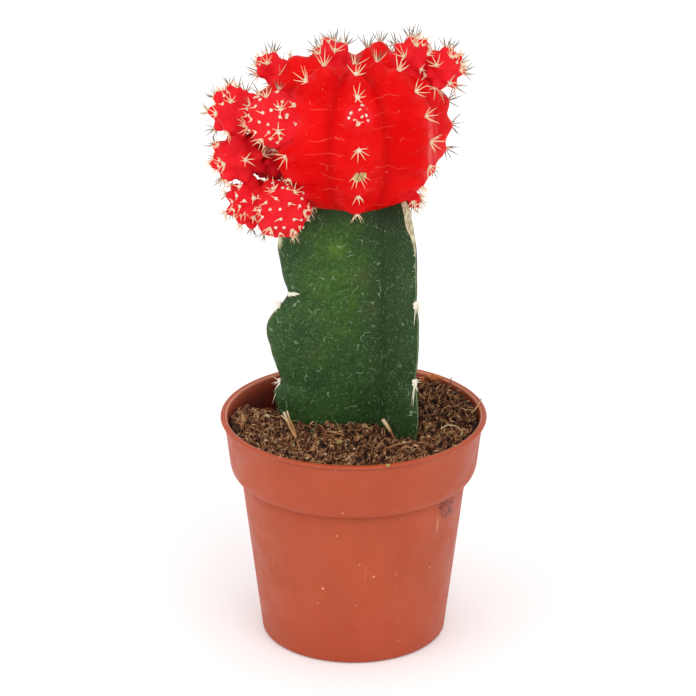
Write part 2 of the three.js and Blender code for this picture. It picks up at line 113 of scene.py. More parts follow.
# Among the offsets: the two necks, the bud on the front rib, and the two whose crowns are dotted all over.
NECKS, BUD, DOTTED = (5, 6), 11, (2, 4)
CROWN_HEIGHT, MIDDLE_HEIGHT = 119, 100  # offsets above these have longer spines
FRONT_RIB, CHIN_AREOLE, DRY_BUD_AREOLE = 1, 7, 5
LOW_AREOLE = 6  # from here down a rib the areoles are smaller
PAD, OFFSET_PAD, BUD_DOT, DOT = 0.52, 0.46, 0.38, 0.33  # sizes of the areoles' felt
DOT_RISE, DOT_WIDTH = 0.50, 0.72  # the small swelling under each dot


# ---- Shapes ----
def chance(number):
    """A steady value from 0 to 1 for each number."""
    wave = math.sin(number * 12.9898 + 4.137) * 43758.5453
    return wave - math.floor(wave)


def smoothstep(value, low, high):
    """0 at low and 1 at high, with a soft start and end. Low may be the greater."""
    share = np.clip((value - low) / (high - low), 0, 1)
    return share * share * (3 - 2 * share)


def unit(vectors):
    """The vectors, each at length 1."""
    vectors = np.asarray(vectors, float)
    return vectors / np.linalg.norm(vectors, axis=-1, keepdims=True)


def smooth_through(pairs, places):
    """A smooth curve through [place, value] pairs, read at each place."""
    knots, values = np.array(pairs, float).T
    places = np.clip(np.asarray(places, float), knots[0], knots[-1])
    i = np.clip(np.searchsorted(knots, places, side="right") - 1, 0, len(knots) - 2)
    before, after = np.maximum(i - 1, 0), np.minimum(i + 2, len(knots) - 1)
    slope_start = (values[i + 1] - values[before]) / (knots[i + 1] - knots[before])
    slope_end = (values[after] - values[i]) / (knots[after] - knots[i])
    width = knots[i + 1] - knots[i]
    rise = values[i + 1] - values[i]
    t = (places - knots[i]) / width
    a, b = slope_start * width - rise, rise - slope_end * width
    return values[i] + t * rise + t * (1 - t) * ((1 - t) * a + t * b)


def hermite(t, start, end, slope_start, slope_end):
    """A smooth way from start to end with the given slopes, t running from 0 to 1."""
    bend = -3 * start + 3 * end - 2 * slope_start - slope_end
    twist = 2 * start - 2 * end + slope_start + slope_end
    return start + slope_start * t + bend * t * t + twist * t ** 3


def curve_through(points, steps):
    """A smooth curve through points, with this many steps to a span."""
    points = np.array(points, float)
    padded = np.vstack([points[:1], points, points[-1:]])
    t = np.linspace(0, 1, steps, endpoint=False)[:, None]
    spans = [hermite(t, padded[i + 1], padded[i + 2], (padded[i + 2] - padded[i]) / 2,
                     (padded[i + 3] - padded[i + 1]) / 2) for i in range(len(points) - 1)]
    return np.vstack([*spans, points[-1:]])


def ripple(points, size, seed):
    """A soft uneven wave between about -1 and 1 over points in millimetres."""
    draw = np.random.default_rng(seed)
    total = np.zeros(len(points))
    waves = 14
    for way in unit(draw.normal(size=(waves, 3))):
        pace = draw.uniform(0.7, 1.5) * 2 * math.pi / size
        total += np.sin(points @ way * pace + draw.uniform(0, 2 * math.pi))
    return total / math.sqrt(waves)


def lumpy(points, depth, at, size, seed):
    """Points pushed in and out from the middle as unevenly as a ripple read at other places."""
    return points * (1 + depth * ripple(at, size, seed))[:, None]


def skin_over(rings):
    """Points and triangles of a closed skin over rings (rows, around, 3), each ring counter-clockwise."""
    rows, around = rings.shape[:2]
    here = np.arange(around)
    following = (here + 1) % around
    base = (np.arange(rows - 1) * around)[:, None]
    a, b = (base + here).ravel(), (base + following).ravel()
    low, high = rows * around, rows * around + 1
    last = (rows - 1) * around
    faces = np.concatenate([
        np.stack([a, b, b + around], 1),
        np.stack([a, b + around, a + around], 1),
        np.stack([np.full(around, low), following, here], 1),
        np.stack([np.full(around, high), last + here, last + following], 1),
    ])
    points = np.concatenate([rings.reshape(-1, 3), [rings[0].mean(0)], [rings[-1].mean(0)]])
    return points, faces


def tube(path, radii, sides):
    """A closed tube along a path, with a radius at each of its points."""
    path = np.asarray(path, float)
    along = unit(np.gradient(path, axis=0))
    helper = np.eye(3)[np.argmin(np.abs(along).sum(0))]
    across = unit(np.cross(along, helper))
    other = np.cross(along, across)
    turn = np.arange(sides) * 2 * math.pi / sides
    radii = np.asarray(radii, float)[:, None, None]
    ring = across[:, None] * np.cos(turn)[:, None] + other[:, None] * np.sin(turn)[:, None]
    return skin_over(path[:, None] + radii * ring)


def facing_frame(facing):
    """Two directions square to the given one and to each other."""
    helper = np.array([0, 0, 1.0]) if abs(facing[2]) < 0.9 else np.array([1.0, 0, 0])
    across = unit(np.cross(facing, helper))
    return across, np.cross(facing, across)


class Heap:
    """Small closed shapes gathered into one piece, with a shade for each of their points."""

    def __init__(self):
        self.points, self.faces, self.shades, self.count = [], [], [], 0

    def add(self, shape, shade=0.5):
        points, faces = shape
        self.points.append(points)
        self.faces.append(faces + self.count)
        self.shades.append(np.broadcast_to(shade, len(points)))
        self.count += len(points)

    def shape(self):
        return np.concatenate(self.points), np.concatenate(self.faces)

    def piece(self, name, finish):
        return make_piece(name, self.shape(), finish, {"shade": np.concatenate(self.shades)})


def make_piece(name, shape, finish=None, fields=None):
    """A smooth mesh object from points in millimetres and triangles, with named values at its points."""
    points, faces = shape
    mesh = bpy.data.meshes.new(name)
    mesh.vertices.add(len(points))
    mesh.vertices.foreach_set("co", (points * MM).astype(np.float32).ravel())
    mesh.loops.add(faces.size)
    mesh.loops.foreach_set("vertex_index", faces.astype(np.int32).ravel())
    mesh.polygons.add(len(faces))
    mesh.polygons.foreach_set("loop_start", np.arange(0, faces.size, 3, dtype=np.int32))
    mesh.update(calc_edges=True)
    mesh.shade_smooth()
    piece = bpy.data.objects.new(name, mesh)
    bpy.context.scene.collection.objects.link(piece)
    if finish:
        mesh.materials.append(finish)
    set_fields(piece, fields or {})
    return piece


def set_fields(piece, fields):
    for name, values in fields.items():
        field = piece.data.attributes.new(name, "FLOAT", "POINT")
        field.data.foreach_set("value", np.asarray(values, np.float32))


def points_of(piece):
    flat = np.empty(len(piece.data.vertices) * 3, np.float32)
    piece.data.vertices.foreach_get("co", flat)
    return flat.reshape(-1, 3).astype(float) / MM


def combine(piece, others, operation):
    """Joins other pieces to this one or cuts them from it, and removes them."""
    group = bpy.data.collections.new("combining")
    for other in others:
        group.objects.link(other)
    change = piece.modifiers.new("combine", "BOOLEAN")
    change.operation = operation
    change.operand_type = "COLLECTION"
    change.collection = group
    change.solver = "MANIFOLD"
    depsgraph = bpy.context.evaluated_depsgraph_get()
    result = bpy.data.meshes.new_from_object(piece.evaluated_get(depsgraph))
    piece.modifiers.clear()
    piece.data = result
    result.materials.clear()
    result.polygons.foreach_set("material_index", np.zeros(len(result.polygons), np.int32))
    result.shade_smooth()
    for other in others:
        bpy.data.objects.remove(other)
    bpy.data.collections.remove(group)


def ball_shape(steps):
    """A unit sphere's points and triangles."""
    mesh = bpy.data.meshes.new("round")
    form = bmesh.new()
    bmesh.ops.create_icosphere(form, subdivisions=steps, radius=1)
    form.to_mesh(mesh)
    form.free()
    flat = np.empty(len(mesh.vertices) * 3, np.float32)
    mesh.vertices.foreach_get("co", flat)
    faces = np.array([list(polygon.vertices) for polygon in mesh.polygons])
    bpy.data.meshes.remove(mesh)
    return flat.reshape(-1, 3).astype(float), faces


COARSE_ROUND, ROUND, FINE_ROUND = ball_shape(1), ball_shape(2), ball_shape(3)


# ---- Finishes ----
class Board:
    """Nodes of one material or node group, put down and joined by short calls."""

    def __init__(self, tree):
        self.tree = tree

    def feed(self, socket, value):
        if isinstance(value, bpy.types.NodeSocket):
            self.tree.links.new(value, socket)
        elif isinstance(value, tuple) and len(value) == 3 and socket.type == "RGBA":
            socket.default_value = (*value, 1)
        else:
            socket.default_value = value

    def put(self, kind, inputs=None, **settings):
        node = self.tree.nodes.new(kind)
        for name, value in settings.items():
            setattr(node, name, value)
        for name, value in (inputs or {}).items():
            self.feed(node.inputs[name], value)
        return node

    def work(self, operation, *values, kind="ShaderNodeMath", output=0):
        """One step of arithmetic on values, or on vectors."""
        node = self.put(kind, operation=operation)
        for i, value in enumerate(values):
            self.feed(node.inputs[i], value)
        return node.outputs[output]

    def times(self, first, second):
        return self.work("MULTIPLY", first, second)

    def plus(self, first, second):
        return self.work("ADD", first, second)

    def minus(self, first, second):
        return self.work("SUBTRACT", first, second)

    def apart(self, first, second):
        """How far two values lie apart."""
        return self.work("ABSOLUTE", self.minus(first, second))

    def vector(self, operation, *values):
        return self.work(operation, *values, kind="ShaderNodeVectorMath")

    def length(self, vector):
        return self.work("LENGTH", vector, kind="ShaderNodeVectorMath", output=1)

    def mix(self, share, first, second):
        node = self.put("ShaderNodeMix", data_type="RGBA")
        self.feed(node.inputs[0], share)
        self.feed(node.inputs[6], first)
        self.feed(node.inputs[7], second)
        return node.outputs[2]

    def tint(self, colour, mask, strength, tone):
        """The colour, taken towards the tone by the strength where the mask is 1."""
        return self.mix(self.times(mask, strength), colour, tone)

    def range(self, value, low, high, start=0.0, end=1.0, smooth=True):
        kind = "SMOOTHSTEP" if smooth else "LINEAR"
        inputs = {"Value": value, "From Min": low, "From Max": high, "To Min": start, "To Max": end}
        return self.put("ShaderNodeMapRange", inputs, interpolation_type=kind).outputs["Result"]

    def ramp(self, share, stops):
        node = self.put("ShaderNodeValToRGB", {"Fac": share})
        elements = node.color_ramp.elements
        while len(elements) < len(stops):
            elements.new(0.5)
        for element, (place, colour) in zip(elements, stops):
            element.position = place
            element.color = (*colour, 1)
        return node.outputs["Color"]

    def noise(self, place, scale, detail=2.0, roughness=0.5):
        inputs = {"Vector": place, "Scale": scale, "Detail": detail, "Roughness": roughness}
        return self.put("ShaderNodeTexNoise", inputs).outputs["Fac"]

    def place(self):
        return self.put("ShaderNodeTexCoord").outputs["Object"]

    def height(self):
        return self.put("ShaderNodeSeparateXYZ", {"Vector": self.place()}).outputs["Z"]

    def field(self, name):
        return self.put("ShaderNodeAttribute", attribute_name=name).outputs["Fac"]

    def group(self, tree, **inputs):
        node = self.put("ShaderNodeGroup", node_tree=tree)
        for name, value in inputs.items():
            self.feed(node.inputs[name], value)
        return node.outputs[0]


def new_group(name, inputs, output, kind):
    """A node group with one output: its board, and the sockets of what goes in and what comes out."""
    tree = bpy.data.node_groups.new(name, "ShaderNodeTree")
    for label, value in inputs.items():
        is_vector = isinstance(value, tuple)
        socket = tree.interface.new_socket(
            label, in_out="INPUT", socket_type="NodeSocketVector" if is_vector else "NodeSocketFloat")
        socket.default_value = value
    tree.interface.new_socket(output, in_out="OUTPUT", socket_type="NodeSocket" + kind)
    given, result = tree.nodes.new("NodeGroupInput").outputs, tree.nodes.new("NodeGroupOutput").inputs
    return Board(tree), given, result[output]


def make_mottle():
    """Soft uneven patches: 0 to 1 over the surface."""
    board, given, result = new_group("mottle", {
        "Scale": 100.0, "Detail": 3.0, "Low": 0.35, "High": 0.65, "Stretch": (1.0, 1.0, 1.0),
    }, "Value", "Float")
    place = board.vector("MULTIPLY", board.place(), given["Stretch"])
    noise = board.noise(place, given["Scale"], given["Detail"], 0.6)
    board.feed(result, board.range(noise, given["Low"], given["High"]))
    return board.tree


def make_specks():
    """Scattered small dots: 1 on a dot. Share is how many of the cells hold one."""
    board, given, result = new_group("specks", {"Scale": 500.0, "Size": 0.2, "Share": 0.3}, "Mask", "Float")
    place, size = board.place(), given["Size"]
    wobble = board.noise(place, board.times(given["Scale"], 2.3))
    cells = board.put("ShaderNodeTexVoronoi", {"Vector": place, "Scale": given["Scale"]})
    shape = board.plus(cells.outputs["Distance"], board.times(wobble, 0.16))
    dot = board.range(shape, board.plus(size, 0.12), board.plus(size, 0.05))
    random = board.put("ShaderNodeSeparateColor", {"Color": cells.outputs["Color"]}).outputs[0]
    board.feed(result, board.times(dot, board.work("LESS_THAN", random, given["Share"])))
    return board.tree


def make_curls():
    """Short broken curls, as dried water and scratches leave them: 1 on a line."""
    board, given, result = new_group("curls", {"Scale": 300.0, "Width": 0.02, "Bare": 0.55}, "Mask", "Float")
    place, bare = board.place(), given["Bare"]
    waves = board.noise(place, given["Scale"], 1.0)
    line = board.range(board.apart(waves, 0.5), given["Width"], 0.0)
    gaps = board.noise(place, board.times(given["Scale"], 1.9))
    board.feed(result, board.times(line, board.range(gaps, bare, board.plus(bare, 0.05))))
    return board.tree


def make_patch():
    """A soft-edged spot round a place: 1 inside it."""
    board, given, result = new_group("patch", {
        "Centre": (0.0, 0.0, 0.0), "Spread": (0.01, 0.01, 0.01), "Inner": 0.5, "Uneven": 0.3, "Scale": 800.0,
    }, "Mask", "Float")
    place = board.place()
    away = board.vector("DIVIDE", board.vector("SUBTRACT", place, given["Centre"]), given["Spread"])
    noise = board.noise(place, given["Scale"], 3.0)
    uneven = board.times(board.minus(noise, 0.5), given["Uneven"])
    board.feed(result, board.range(board.plus(board.length(away), uneven), 1.0, given["Inner"]))
    return board.tree


def make_grain():
    """A fine uneven surface: a normal."""
    board, given, result = new_group("grain", {
        "Scale": 2000.0, "Strength": 0.3, "Depth": 0.0001, "Stretch": (1.0, 1.0, 1.0), "Extra": 0.0,
    }, "Normal", "Vector")
    place = board.vector("MULTIPLY", board.place(), given["Stretch"])
    height = board.plus(board.noise(place, given["Scale"], 3.0), given["Extra"])
    inputs = {"Strength": given["Strength"], "Distance": given["Depth"], "Height": height}
    board.feed(result, board.put("ShaderNodeBump", inputs).outputs["Normal"])
    return board.tree


MOTTLE, SPECKS, CURLS, PATCH, GRAIN = make_mottle(), make_specks(), make_curls(), make_patch(), make_grain()


class Finish(Board):
    """The board of one material, with the ways that its shader is fed."""

    def __init__(self, name):
        self.material = bpy.data.materials.new(name)
        self.material.use_nodes = True
        super().__init__(self.material.node_tree)
        self.shader = self.tree.nodes["Principled BSDF"]

    def colour(self, value):
        self.feed(self.shader.inputs["Base Color"], value)

    def rough(self, mask, low, high):
        self.feed(self.shader.inputs["Roughness"], self.range(mask, 0, 1, low, high))

    def grain(self, scale, strength, depth, **others):
        normal = self.group(GRAIN, Scale=scale, Strength=strength, Depth=depth, **others)
        self.feed(self.shader.inputs["Normal"], normal)

    def hold(self, values):
        """Values that are the same all over the surface."""
        for name, value in values.items():
            self.shader.inputs[name].default_value = value


def terracotta_plastic():
    finish = Finish("terracotta_plastic")
    group, height = finish.group, finish.height()
    clay = finish.mix(group(MOTTLE, Scale=70.0), (0.388, 0.055, 0.012), (0.426, 0.064, 0.017))
    clay = finish.mix(finish.range(height, 0.016, 0.0, 0.0, 0.35), clay, (0.375, 0.040, 0.010))
    scuffs = group(MOTTLE, Scale=900.0, Detail=2.0, Low=0.70, High=0.78, Stretch=(1.0, 1.0, 0.13))
    clay = finish.tint(clay, scuffs, 0.22, (0.60, 0.17, 0.09))
    clay = finish.mix(group(SPECKS, Scale=260.0, Size=0.045, Share=0.42), clay, (0.72, 0.33, 0.21))
    clay = finish.mix(group(SPECKS, Scale=300.0, Size=0.05, Share=0.12), clay, (0.24, 0.03, 0.02))
    # Painted highlight: a paler line on the lip's inner edge. Painted shadow: a thin dark line in the crease
    # under the lip.
    reach = finish.length(finish.vector("MULTIPLY", finish.place(), (1.0, 1.0, 0.0)))
    lip_highlight = finish.times(finish.range(reach, 0.02660, 0.02640), finish.range(height, 0.0477, 0.0480))
    clay = finish.mix(lip_highlight, clay, (0.70, 0.26, 0.14))
    # Painted shadow in the crease under the lip.
    crease = finish.range(finish.apart(height, 0.04742), 0.00022, 0.00010)
    crease = finish.times(crease, finish.range(reach, 0.0264, 0.0266))
    clay = finish.tint(clay, crease, 0.85, (0.17, 0.014, 0.005))
    # A smudge at the right, just under the band, and a pale streak below it.
    grime = group(MOTTLE, Scale=1000.0, Detail=3.0, Low=0.45, High=0.51, Stretch=(1.0, 1.0, 1.9))
    for centre, spread in (((0.0188, -0.0128, 0.0335), (0.0032, 0.006, 0.0026)),
                           ((0.0196, -0.0118, 0.0312), (0.0022, 0.004, 0.0013))):
        smudge = group(PATCH, Centre=centre, Spread=spread, Inner=0.3, Uneven=1.2, Scale=600.0)
        clay = finish.mix(finish.times(smudge, grime), clay, (0.14, 0.008, 0.003))
    streak = group(PATCH, Centre=(0.0171, -0.0146, 0.0300), Spread=(0.0006, 0.0012, 0.0032), Inner=0.2)
    clay = finish.tint(clay, streak, 0.45, (0.66, 0.26, 0.15))
    # The inner wall: soil stain and painted shade, far darker than the clay.
    inner_stain_and_shade = finish.mix(group(MOTTLE, Scale=260.0), (0.085, 0.008, 0.007), (0.16, 0.016, 0.011))
    finish.colour(finish.mix(finish.field("inside"), clay, inner_stain_and_shade))
    finish.rough(group(MOTTLE, Scale=220.0), 0.44, 0.56)
    finish.grain(900.0, 0.12, 0.0002)
    finish.hold({"Specular IOR Level": 0.38})
    return finish.material


def peat(name, stops, rough):
    """Peat or coir: its colours run along the stops with the shade of each crumb or fibre."""
    finish = Finish(name)
    share = finish.plus(finish.field("shade"), finish.group(MOTTLE, Scale=900.0))
    finish.colour(finish.ramp(finish.times(share, 0.5), stops))
    finish.rough(finish.group(MOTTLE, Scale=2500.0), rough - 0.1, rough)
    finish.grain(3000.0, 0.6, 0.0003)
    finish.hold({"Specular IOR Level": 0.25})
    return finish.material


def green_skin():
    finish = Finish("green_skin")
    group, height, edge = finish.group, finish.height(), finish.field("edge")
    dark = finish.mix(group(MOTTLE, Scale=150.0, Detail=4.0), (0.022, 0.060, 0.013), (0.034, 0.086, 0.017))
    light = finish.mix(group(MOTTLE, Scale=400.0, Detail=4.0), (0.040, 0.110, 0.012), (0.066, 0.150, 0.014))
    # A lighter, yellower middle on the front face: partly the skin's own tone, partly a painted highlight.
    middle = group(PATCH, Centre=(-0.003, -0.002, 0.080), Spread=(0.011, 0.02, 0.024), Inner=0.0,
                   Uneven=0.9, Scale=140.0)
    skin = finish.tint(dark, middle, 0.85, light)
    blotches = group(MOTTLE, Scale=1400.0, Detail=3.0, Low=0.42, High=0.60)
    skin = finish.tint(skin, blotches, 0.50, (0.012, 0.036, 0.006))
    bright = group(PATCH, Centre=(-0.0032, -0.002, 0.0850), Spread=(0.0030, 0.01, 0.0030), Inner=0.0,
                   Uneven=1.3, Scale=700.0)
    skin = finish.tint(skin, bright, 0.5, (0.11, 0.21, 0.022))
    olive = group(PATCH, Centre=(0.0016, -0.002, 0.0790), Spread=(0.0040, 0.01, 0.0042), Inner=0.0,
                  Uneven=1.0, Scale=500.0)
    skin = finish.tint(skin, olive, 0.5, (0.080, 0.095, 0.028))
    # Painted shade: the flank from the fold to the front wing's tip is darker.
    skin = finish.mix(finish.range(finish.field("flank"), 0.0, 1.0, 0.0, 0.55), skin, (0.018, 0.042, 0.010))
    # Browning, lacy lines, specks and curls all over, and a row of specks along the margins.
    fine = group(SPECKS, Scale=1150.0, Size=0.14, Share=0.45)
    bold = group(SPECKS, Scale=620.0, Size=0.05, Share=0.17)
    rows = finish.times(group(SPECKS, Scale=1000.0, Size=0.16, Share=0.22), finish.range(edge, 0.66, 0.80))
    for mask, strength, tone in (
        (group(MOTTLE, Scale=120.0, Detail=2.0, Low=0.58, High=0.8), 0.4, (0.055, 0.068, 0.022)),
        (group(CURLS, Scale=900.0, Width=0.030, Bare=0.47), 0.40, (0.18, 0.28, 0.13)),
        (fine, 0.55, (0.24, 0.34, 0.17)), (bold, 0.8, (0.48, 0.56, 0.40)),
        (group(CURLS, Scale=330.0, Width=0.016, Bare=0.54), 0.6, (0.33, 0.42, 0.28)),
        (rows, 0.75, (0.55, 0.60, 0.45)),
    ):
        skin = finish.tint(skin, mask, strength, tone)
    # A healed white cut with a brown rim on the left wing, and a bare corner at the top of the wing.
    scar_rim = group(PATCH, Centre=(-0.0131, 0.001, 0.0741), Spread=(0.0023, 0.005, 0.0009), Inner=0.5,
                     Uneven=0.4, Scale=1500.0)
    skin = finish.tint(skin, scar_rim, 0.7, (0.045, 0.035, 0.012))
    for centre, spread in (((-0.0138, 0.001, 0.0738), (0.0012, 0.004, 0.00050)),
                           ((-0.0127, 0.001, 0.0742), (0.0012, 0.004, 0.00040)),
                           ((-0.0118, 0.001, 0.0746), (0.0010, 0.004, 0.00028))):
        scar = group(PATCH, Centre=centre, Spread=spread, Inner=0.5, Uneven=0.3, Scale=2000.0)
        skin = finish.mix(scar, skin, (0.82, 0.82, 0.62))
    corner = group(PATCH, Centre=(-0.0152, 0.0013, 0.0858), Spread=(0.0009, 0.0022, 0.0024), Inner=0.3,
                   Uneven=0.8, Scale=1500.0)
    skin = finish.tint(skin, corner, 0.85, (0.66, 0.66, 0.36))
    # The margins: cork where the shoulders were trimmed, a dark seam beside it, and a thin pale line below.
    grooves = group(MOTTLE, Scale=2600.0, Detail=2.0, Low=0.3, High=0.7, Stretch=(1.0, 1.0, 0.06))
    cork = finish.mix(grooves, (0.30, 0.26, 0.14), (0.66, 0.62, 0.43))
    past_limit = finish.minus(edge, finish.range(height, 0.0865, 0.0920, 0.97, 0.50, smooth=False))
    strip = finish.range(past_limit, 0.0, 0.03)
    skin = finish.mix(strip, skin, cork)
    seam = finish.range(finish.apart(past_limit, -0.03), 0.03, 0.01)
    seam = finish.times(seam, finish.range(height, 0.0865, 0.0875))
    skin = finish.tint(skin, seam, 0.7, (0.010, 0.018, 0.004))
    line = finish.times(finish.range(edge, 0.93, 0.98), group(MOTTLE, Scale=300.0, Low=0.3, High=0.6))
    skin = finish.tint(skin, line, 0.35, (0.42, 0.42, 0.28))
    # Painted shade: a darker collar under the ball, clear of the cork.
    shade_under_ball = finish.times(finish.range(height, 0.0885, 0.0940), 0.62)
    skin = finish.mix(finish.times(shade_under_ball, finish.minus(1.0, strip)), skin, (0.012, 0.026, 0.009))
    finish.colour(skin)
    finish.rough(group(MOTTLE, Scale=600.0), 0.42, 0.60)
    finish.grain(1400.0, 0.35, 0.00015, Extra=finish.times(finish.plus(fine, bold), 0.3))
    finish.hold({"Specular IOR Level": 0.18})
    return finish.material


def red_flesh():
    finish = Finish("red_flesh")
    group, field = finish.group, finish.field
    skin = finish.mix(group(MOTTLE, Scale=120.0, Detail=3.0), (0.640, 0.0, 0.0005), (0.730, 0.003, 0.003))
    # Painted shade in the ribs' valleys and on the offsets between their areoles.
    skin = finish.mix(finish.range(field("hollow_shade"), 0.25, 0.95, 0.0, 0.8), skin, (0.52, 0.0, 0.0005))
    skin = finish.tint(skin, field("young"), 0.45, (0.82, 0.022, 0.040))
    pale = finish.times(field("bloom"), group(MOTTLE, Scale=450.0, Low=0.3, High=0.7))
    skin = finish.tint(skin, pale, 0.30, (0.78, 0.045, 0.050))
    # Fine pale veins that cross the ribs' flanks.
    bend = finish.times(finish.noise(finish.place(), 130.0), 5.0)
    cycle = finish.work("FRACT", finish.work("DIVIDE", finish.plus(field("arc"), bend), 2.9))
    vein = finish.range(finish.apart(cycle, 0.5), 0.045, 0.0)
    seen = group(MOTTLE, Scale=170.0, Detail=2.0, Low=0.46, High=0.58)
    vein = finish.times(finish.times(vein, seen), finish.range(field("flank"), 0.12, 0.35))
    # The last layer is a pale scar down the crest of the right rib.
    for mask, strength, tone in (
        (vein, 0.36, (0.88, 0.15, 0.11)),
        (group(CURLS, Scale=420.0, Width=0.012, Bare=0.62), 0.45, (0.88, 0.24, 0.18)),
        (group(SPECKS, Scale=420.0, Size=0.05, Share=0.05), 0.45, (0.92, 0.30, 0.24)),
        (group(PATCH, Centre=(0.0152, -0.0103, 0.1100), Spread=(0.0009, 0.004, 0.0090), Inner=0.2,
               Uneven=0.9, Scale=450.0), 0.38, (0.80, 0.20, 0.20)),
    ):
        skin = finish.tint(skin, mask, strength, tone)
    finish.colour(skin)
    finish.rough(group(MOTTLE, Scale=500.0), 0.46, 0.60)
    finish.grain(1300.0, 0.25, 0.00012, Extra=vein)
    finish.hold({
        "Specular IOR Level": 0.05, "Subsurface Weight": 0.15, "Subsurface Radius": (1.0, 0.15, 0.1),
        "Subsurface Scale": 0.0012,
    })
    return finish.material


def felt():
    finish = Finish("areole_felt")
    wool = finish.mix(finish.group(MOTTLE, Scale=3500.0), (0.62, 0.42, 0.26), (0.90, 0.76, 0.55))
    paler = finish.range(finish.field("shade"), 0.0, 1.0, 0.0, 0.8)
    finish.colour(finish.mix(paler, wool, (0.92, 0.84, 0.72)))
    finish.grain(6000.0, 0.8, 0.0002)
    finish.hold({"Roughness": 0.9, "Sheen Weight": 0.4})
    return finish.material


def horn(name, root, middle, tip):
    """Spines: their own colours when fresh, and grey-brown towards the tips of the others, partly weathering
    and partly painted shade.
    """
    finish = Finish(name)
    shade = finish.field("shade")
    along = finish.work("FRACT", shade)
    fresh = finish.ramp(along, [(0.0, root), (0.2, middle), (0.6, middle), (0.97, tip)])
    worn_and_shaded = finish.ramp(along, [
        (0.0, (0.75, 0.42, 0.26)), (0.25, (0.45, 0.38, 0.24)), (0.5, (0.12, 0.115, 0.075)),
        (0.97, (0.05, 0.05, 0.035)),
    ])
    colour = finish.mix(finish.work("GREATER_THAN", shade, 1.0), fresh, worn_and_shaded)
    streaks = finish.group(MOTTLE, Scale=2500.0)
    finish.colour(finish.tint(colour, streaks, 0.25, (0.60, 0.42, 0.25)))
    finish.rough(streaks, 0.45, 0.6)
    return finish.material


def dry_straw():
    finish = Finish("dry_straw")
    streaks = finish.group(MOTTLE, Scale=1500.0, Low=0.3, High=0.7, Stretch=(1.0, 1.0, 0.2))
    colour = finish.ramp(finish.field("shade"), [
        (0.0, (0.17, 0.050, 0.020)), (0.35, (0.44, 0.20, 0.07)), (0.7, (0.62, 0.37, 0.14)),
        (1.0, (0.80, 0.66, 0.42)),
    ])
    finish.colour(finish.tint(colour, streaks, 0.45, (0.25, 0.12, 0.05)))
    finish.rough(streaks, 0.55, 0.75)
    finish.grain(2500.0, 0.5, 0.0002, Stretch=(1.0, 1.0, 0.2))
    return finish.material


def bark_and_grit():
    finish = Finish("bark_and_grit")
    colour = finish.ramp(finish.field("shade"), [
        (0.3, (0.68, 0.20, 0.05)), (0.6, (0.45, 0.22, 0.08)), (0.8, (0.50, 0.43, 0.10)),
        (1.0, (0.72, 0.60, 0.40)),
    ])
    dull = finish.mix(0.5, colour, (0.05, 0.02, 0.01))
    finish.colour(finish.mix(finish.group(MOTTLE, Scale=1600.0), dull, colour))
    finish.grain(2600.0, 0.8, 0.0003)
    finish.hold({"Roughness": 0.9})
    return finish.material


def young_green():
    finish = Finish("green_blade")
    finish.colour(finish.mix(finish.group(MOTTLE, Scale=1200.0), (0.03, 0.11, 0.02), (0.07, 0.20, 0.05)))
    finish.rough(finish.group(MOTTLE, Scale=900.0), 0.4, 0.6)
    return finish.material


def dried_petals():
    finish = Finish("dried_bud")
    colour = finish.ramp(finish.field("shade"), [
        (0.0, (0.38, 0.24, 0.08)), (0.4, (0.76, 0.52, 0.24)), (0.8, (0.50, 0.50, 0.12)),
        (1.0, (0.85, 0.70, 0.40)),
    ])
    dull = finish.mix(0.3, colour, (0.10, 0.05, 0.02))
    finish.colour(finish.mix(finish.group(MOTTLE, Scale=2600.0), colour, dull))
    finish.grain(3600.0, 0.7, 0.0002)
    finish.hold({"Roughness": 0.85})
    return finish.material


# ---- Pot ----
def shoulder_curve(inset, steps):
    """The pot's step out from the body to the band, moved in by the inset."""
    swell = POT["band_bottom"] - POT["body"]
    rise = POT["band_foot"] - POT["shoulder_foot"]
    start = np.array([POT["body"] - inset, POT["shoulder_foot"]])
    control = start + np.array([0.88 * swell, 0.2 * rise])
    end = start + np.array([swell, rise])
    t = np.linspace(0, 1, steps)[:, None]
    return (1 - t) ** 2 * start + 2 * t * (1 - t) * control + t * t * end


def pot_profile():
    """Radius and height from the middle of the base, over the lip, to the middle of the floor inside."""
    base, edge, body = POT["base"], POT["edge"], POT["body"]
    turn = np.radians(np.linspace(-90, 0, 7))[:, None]
    foot = np.hstack([base - edge + edge * np.cos(turn), edge + edge * np.sin(turn)])
    under = [(r, 0.0) for r in (6, 12, 16)]
    side = [(base + (body - base) * t, edge + (POT["shoulder_foot"] - edge) * t)
            for t in np.linspace(0, 1, 14)]
    crease, groove_radius = POT["shoulder_foot"] - 0.25, body - POT["groove"]
    groove = [(body - 0.02, crease), (groove_radius, crease + 0.12), (groove_radius, crease + 0.2)]
    bead = np.array(POT["bead"])
    middle = np.array([POT["lip_radius"], POT["height"]]) - bead
    turn = np.radians(np.linspace(-80, 150, 21))[:, None]
    lip = middle + bead * np.hstack([np.cos(turn), np.sin(turn)])
    band = [POT["band_middle"], *POT["band_rise"]]
    bore = [(POT["band_top"] - POT["wall"], 46.8), *POT["bore"]]
    inside = [*shoulder_curve(POT["wall"], 5)[::-1], (base - POT["wall"], POT["floor"] + 0.6),
              (base - POT["wall"] - 0.6, POT["floor"]), (8, POT["floor"])]
    outside = [*under, *foot, *side[1:-1], *groove, *shoulder_curve(0, 14), *band, *lip]
    return np.array([*outside, *bore, *inside])


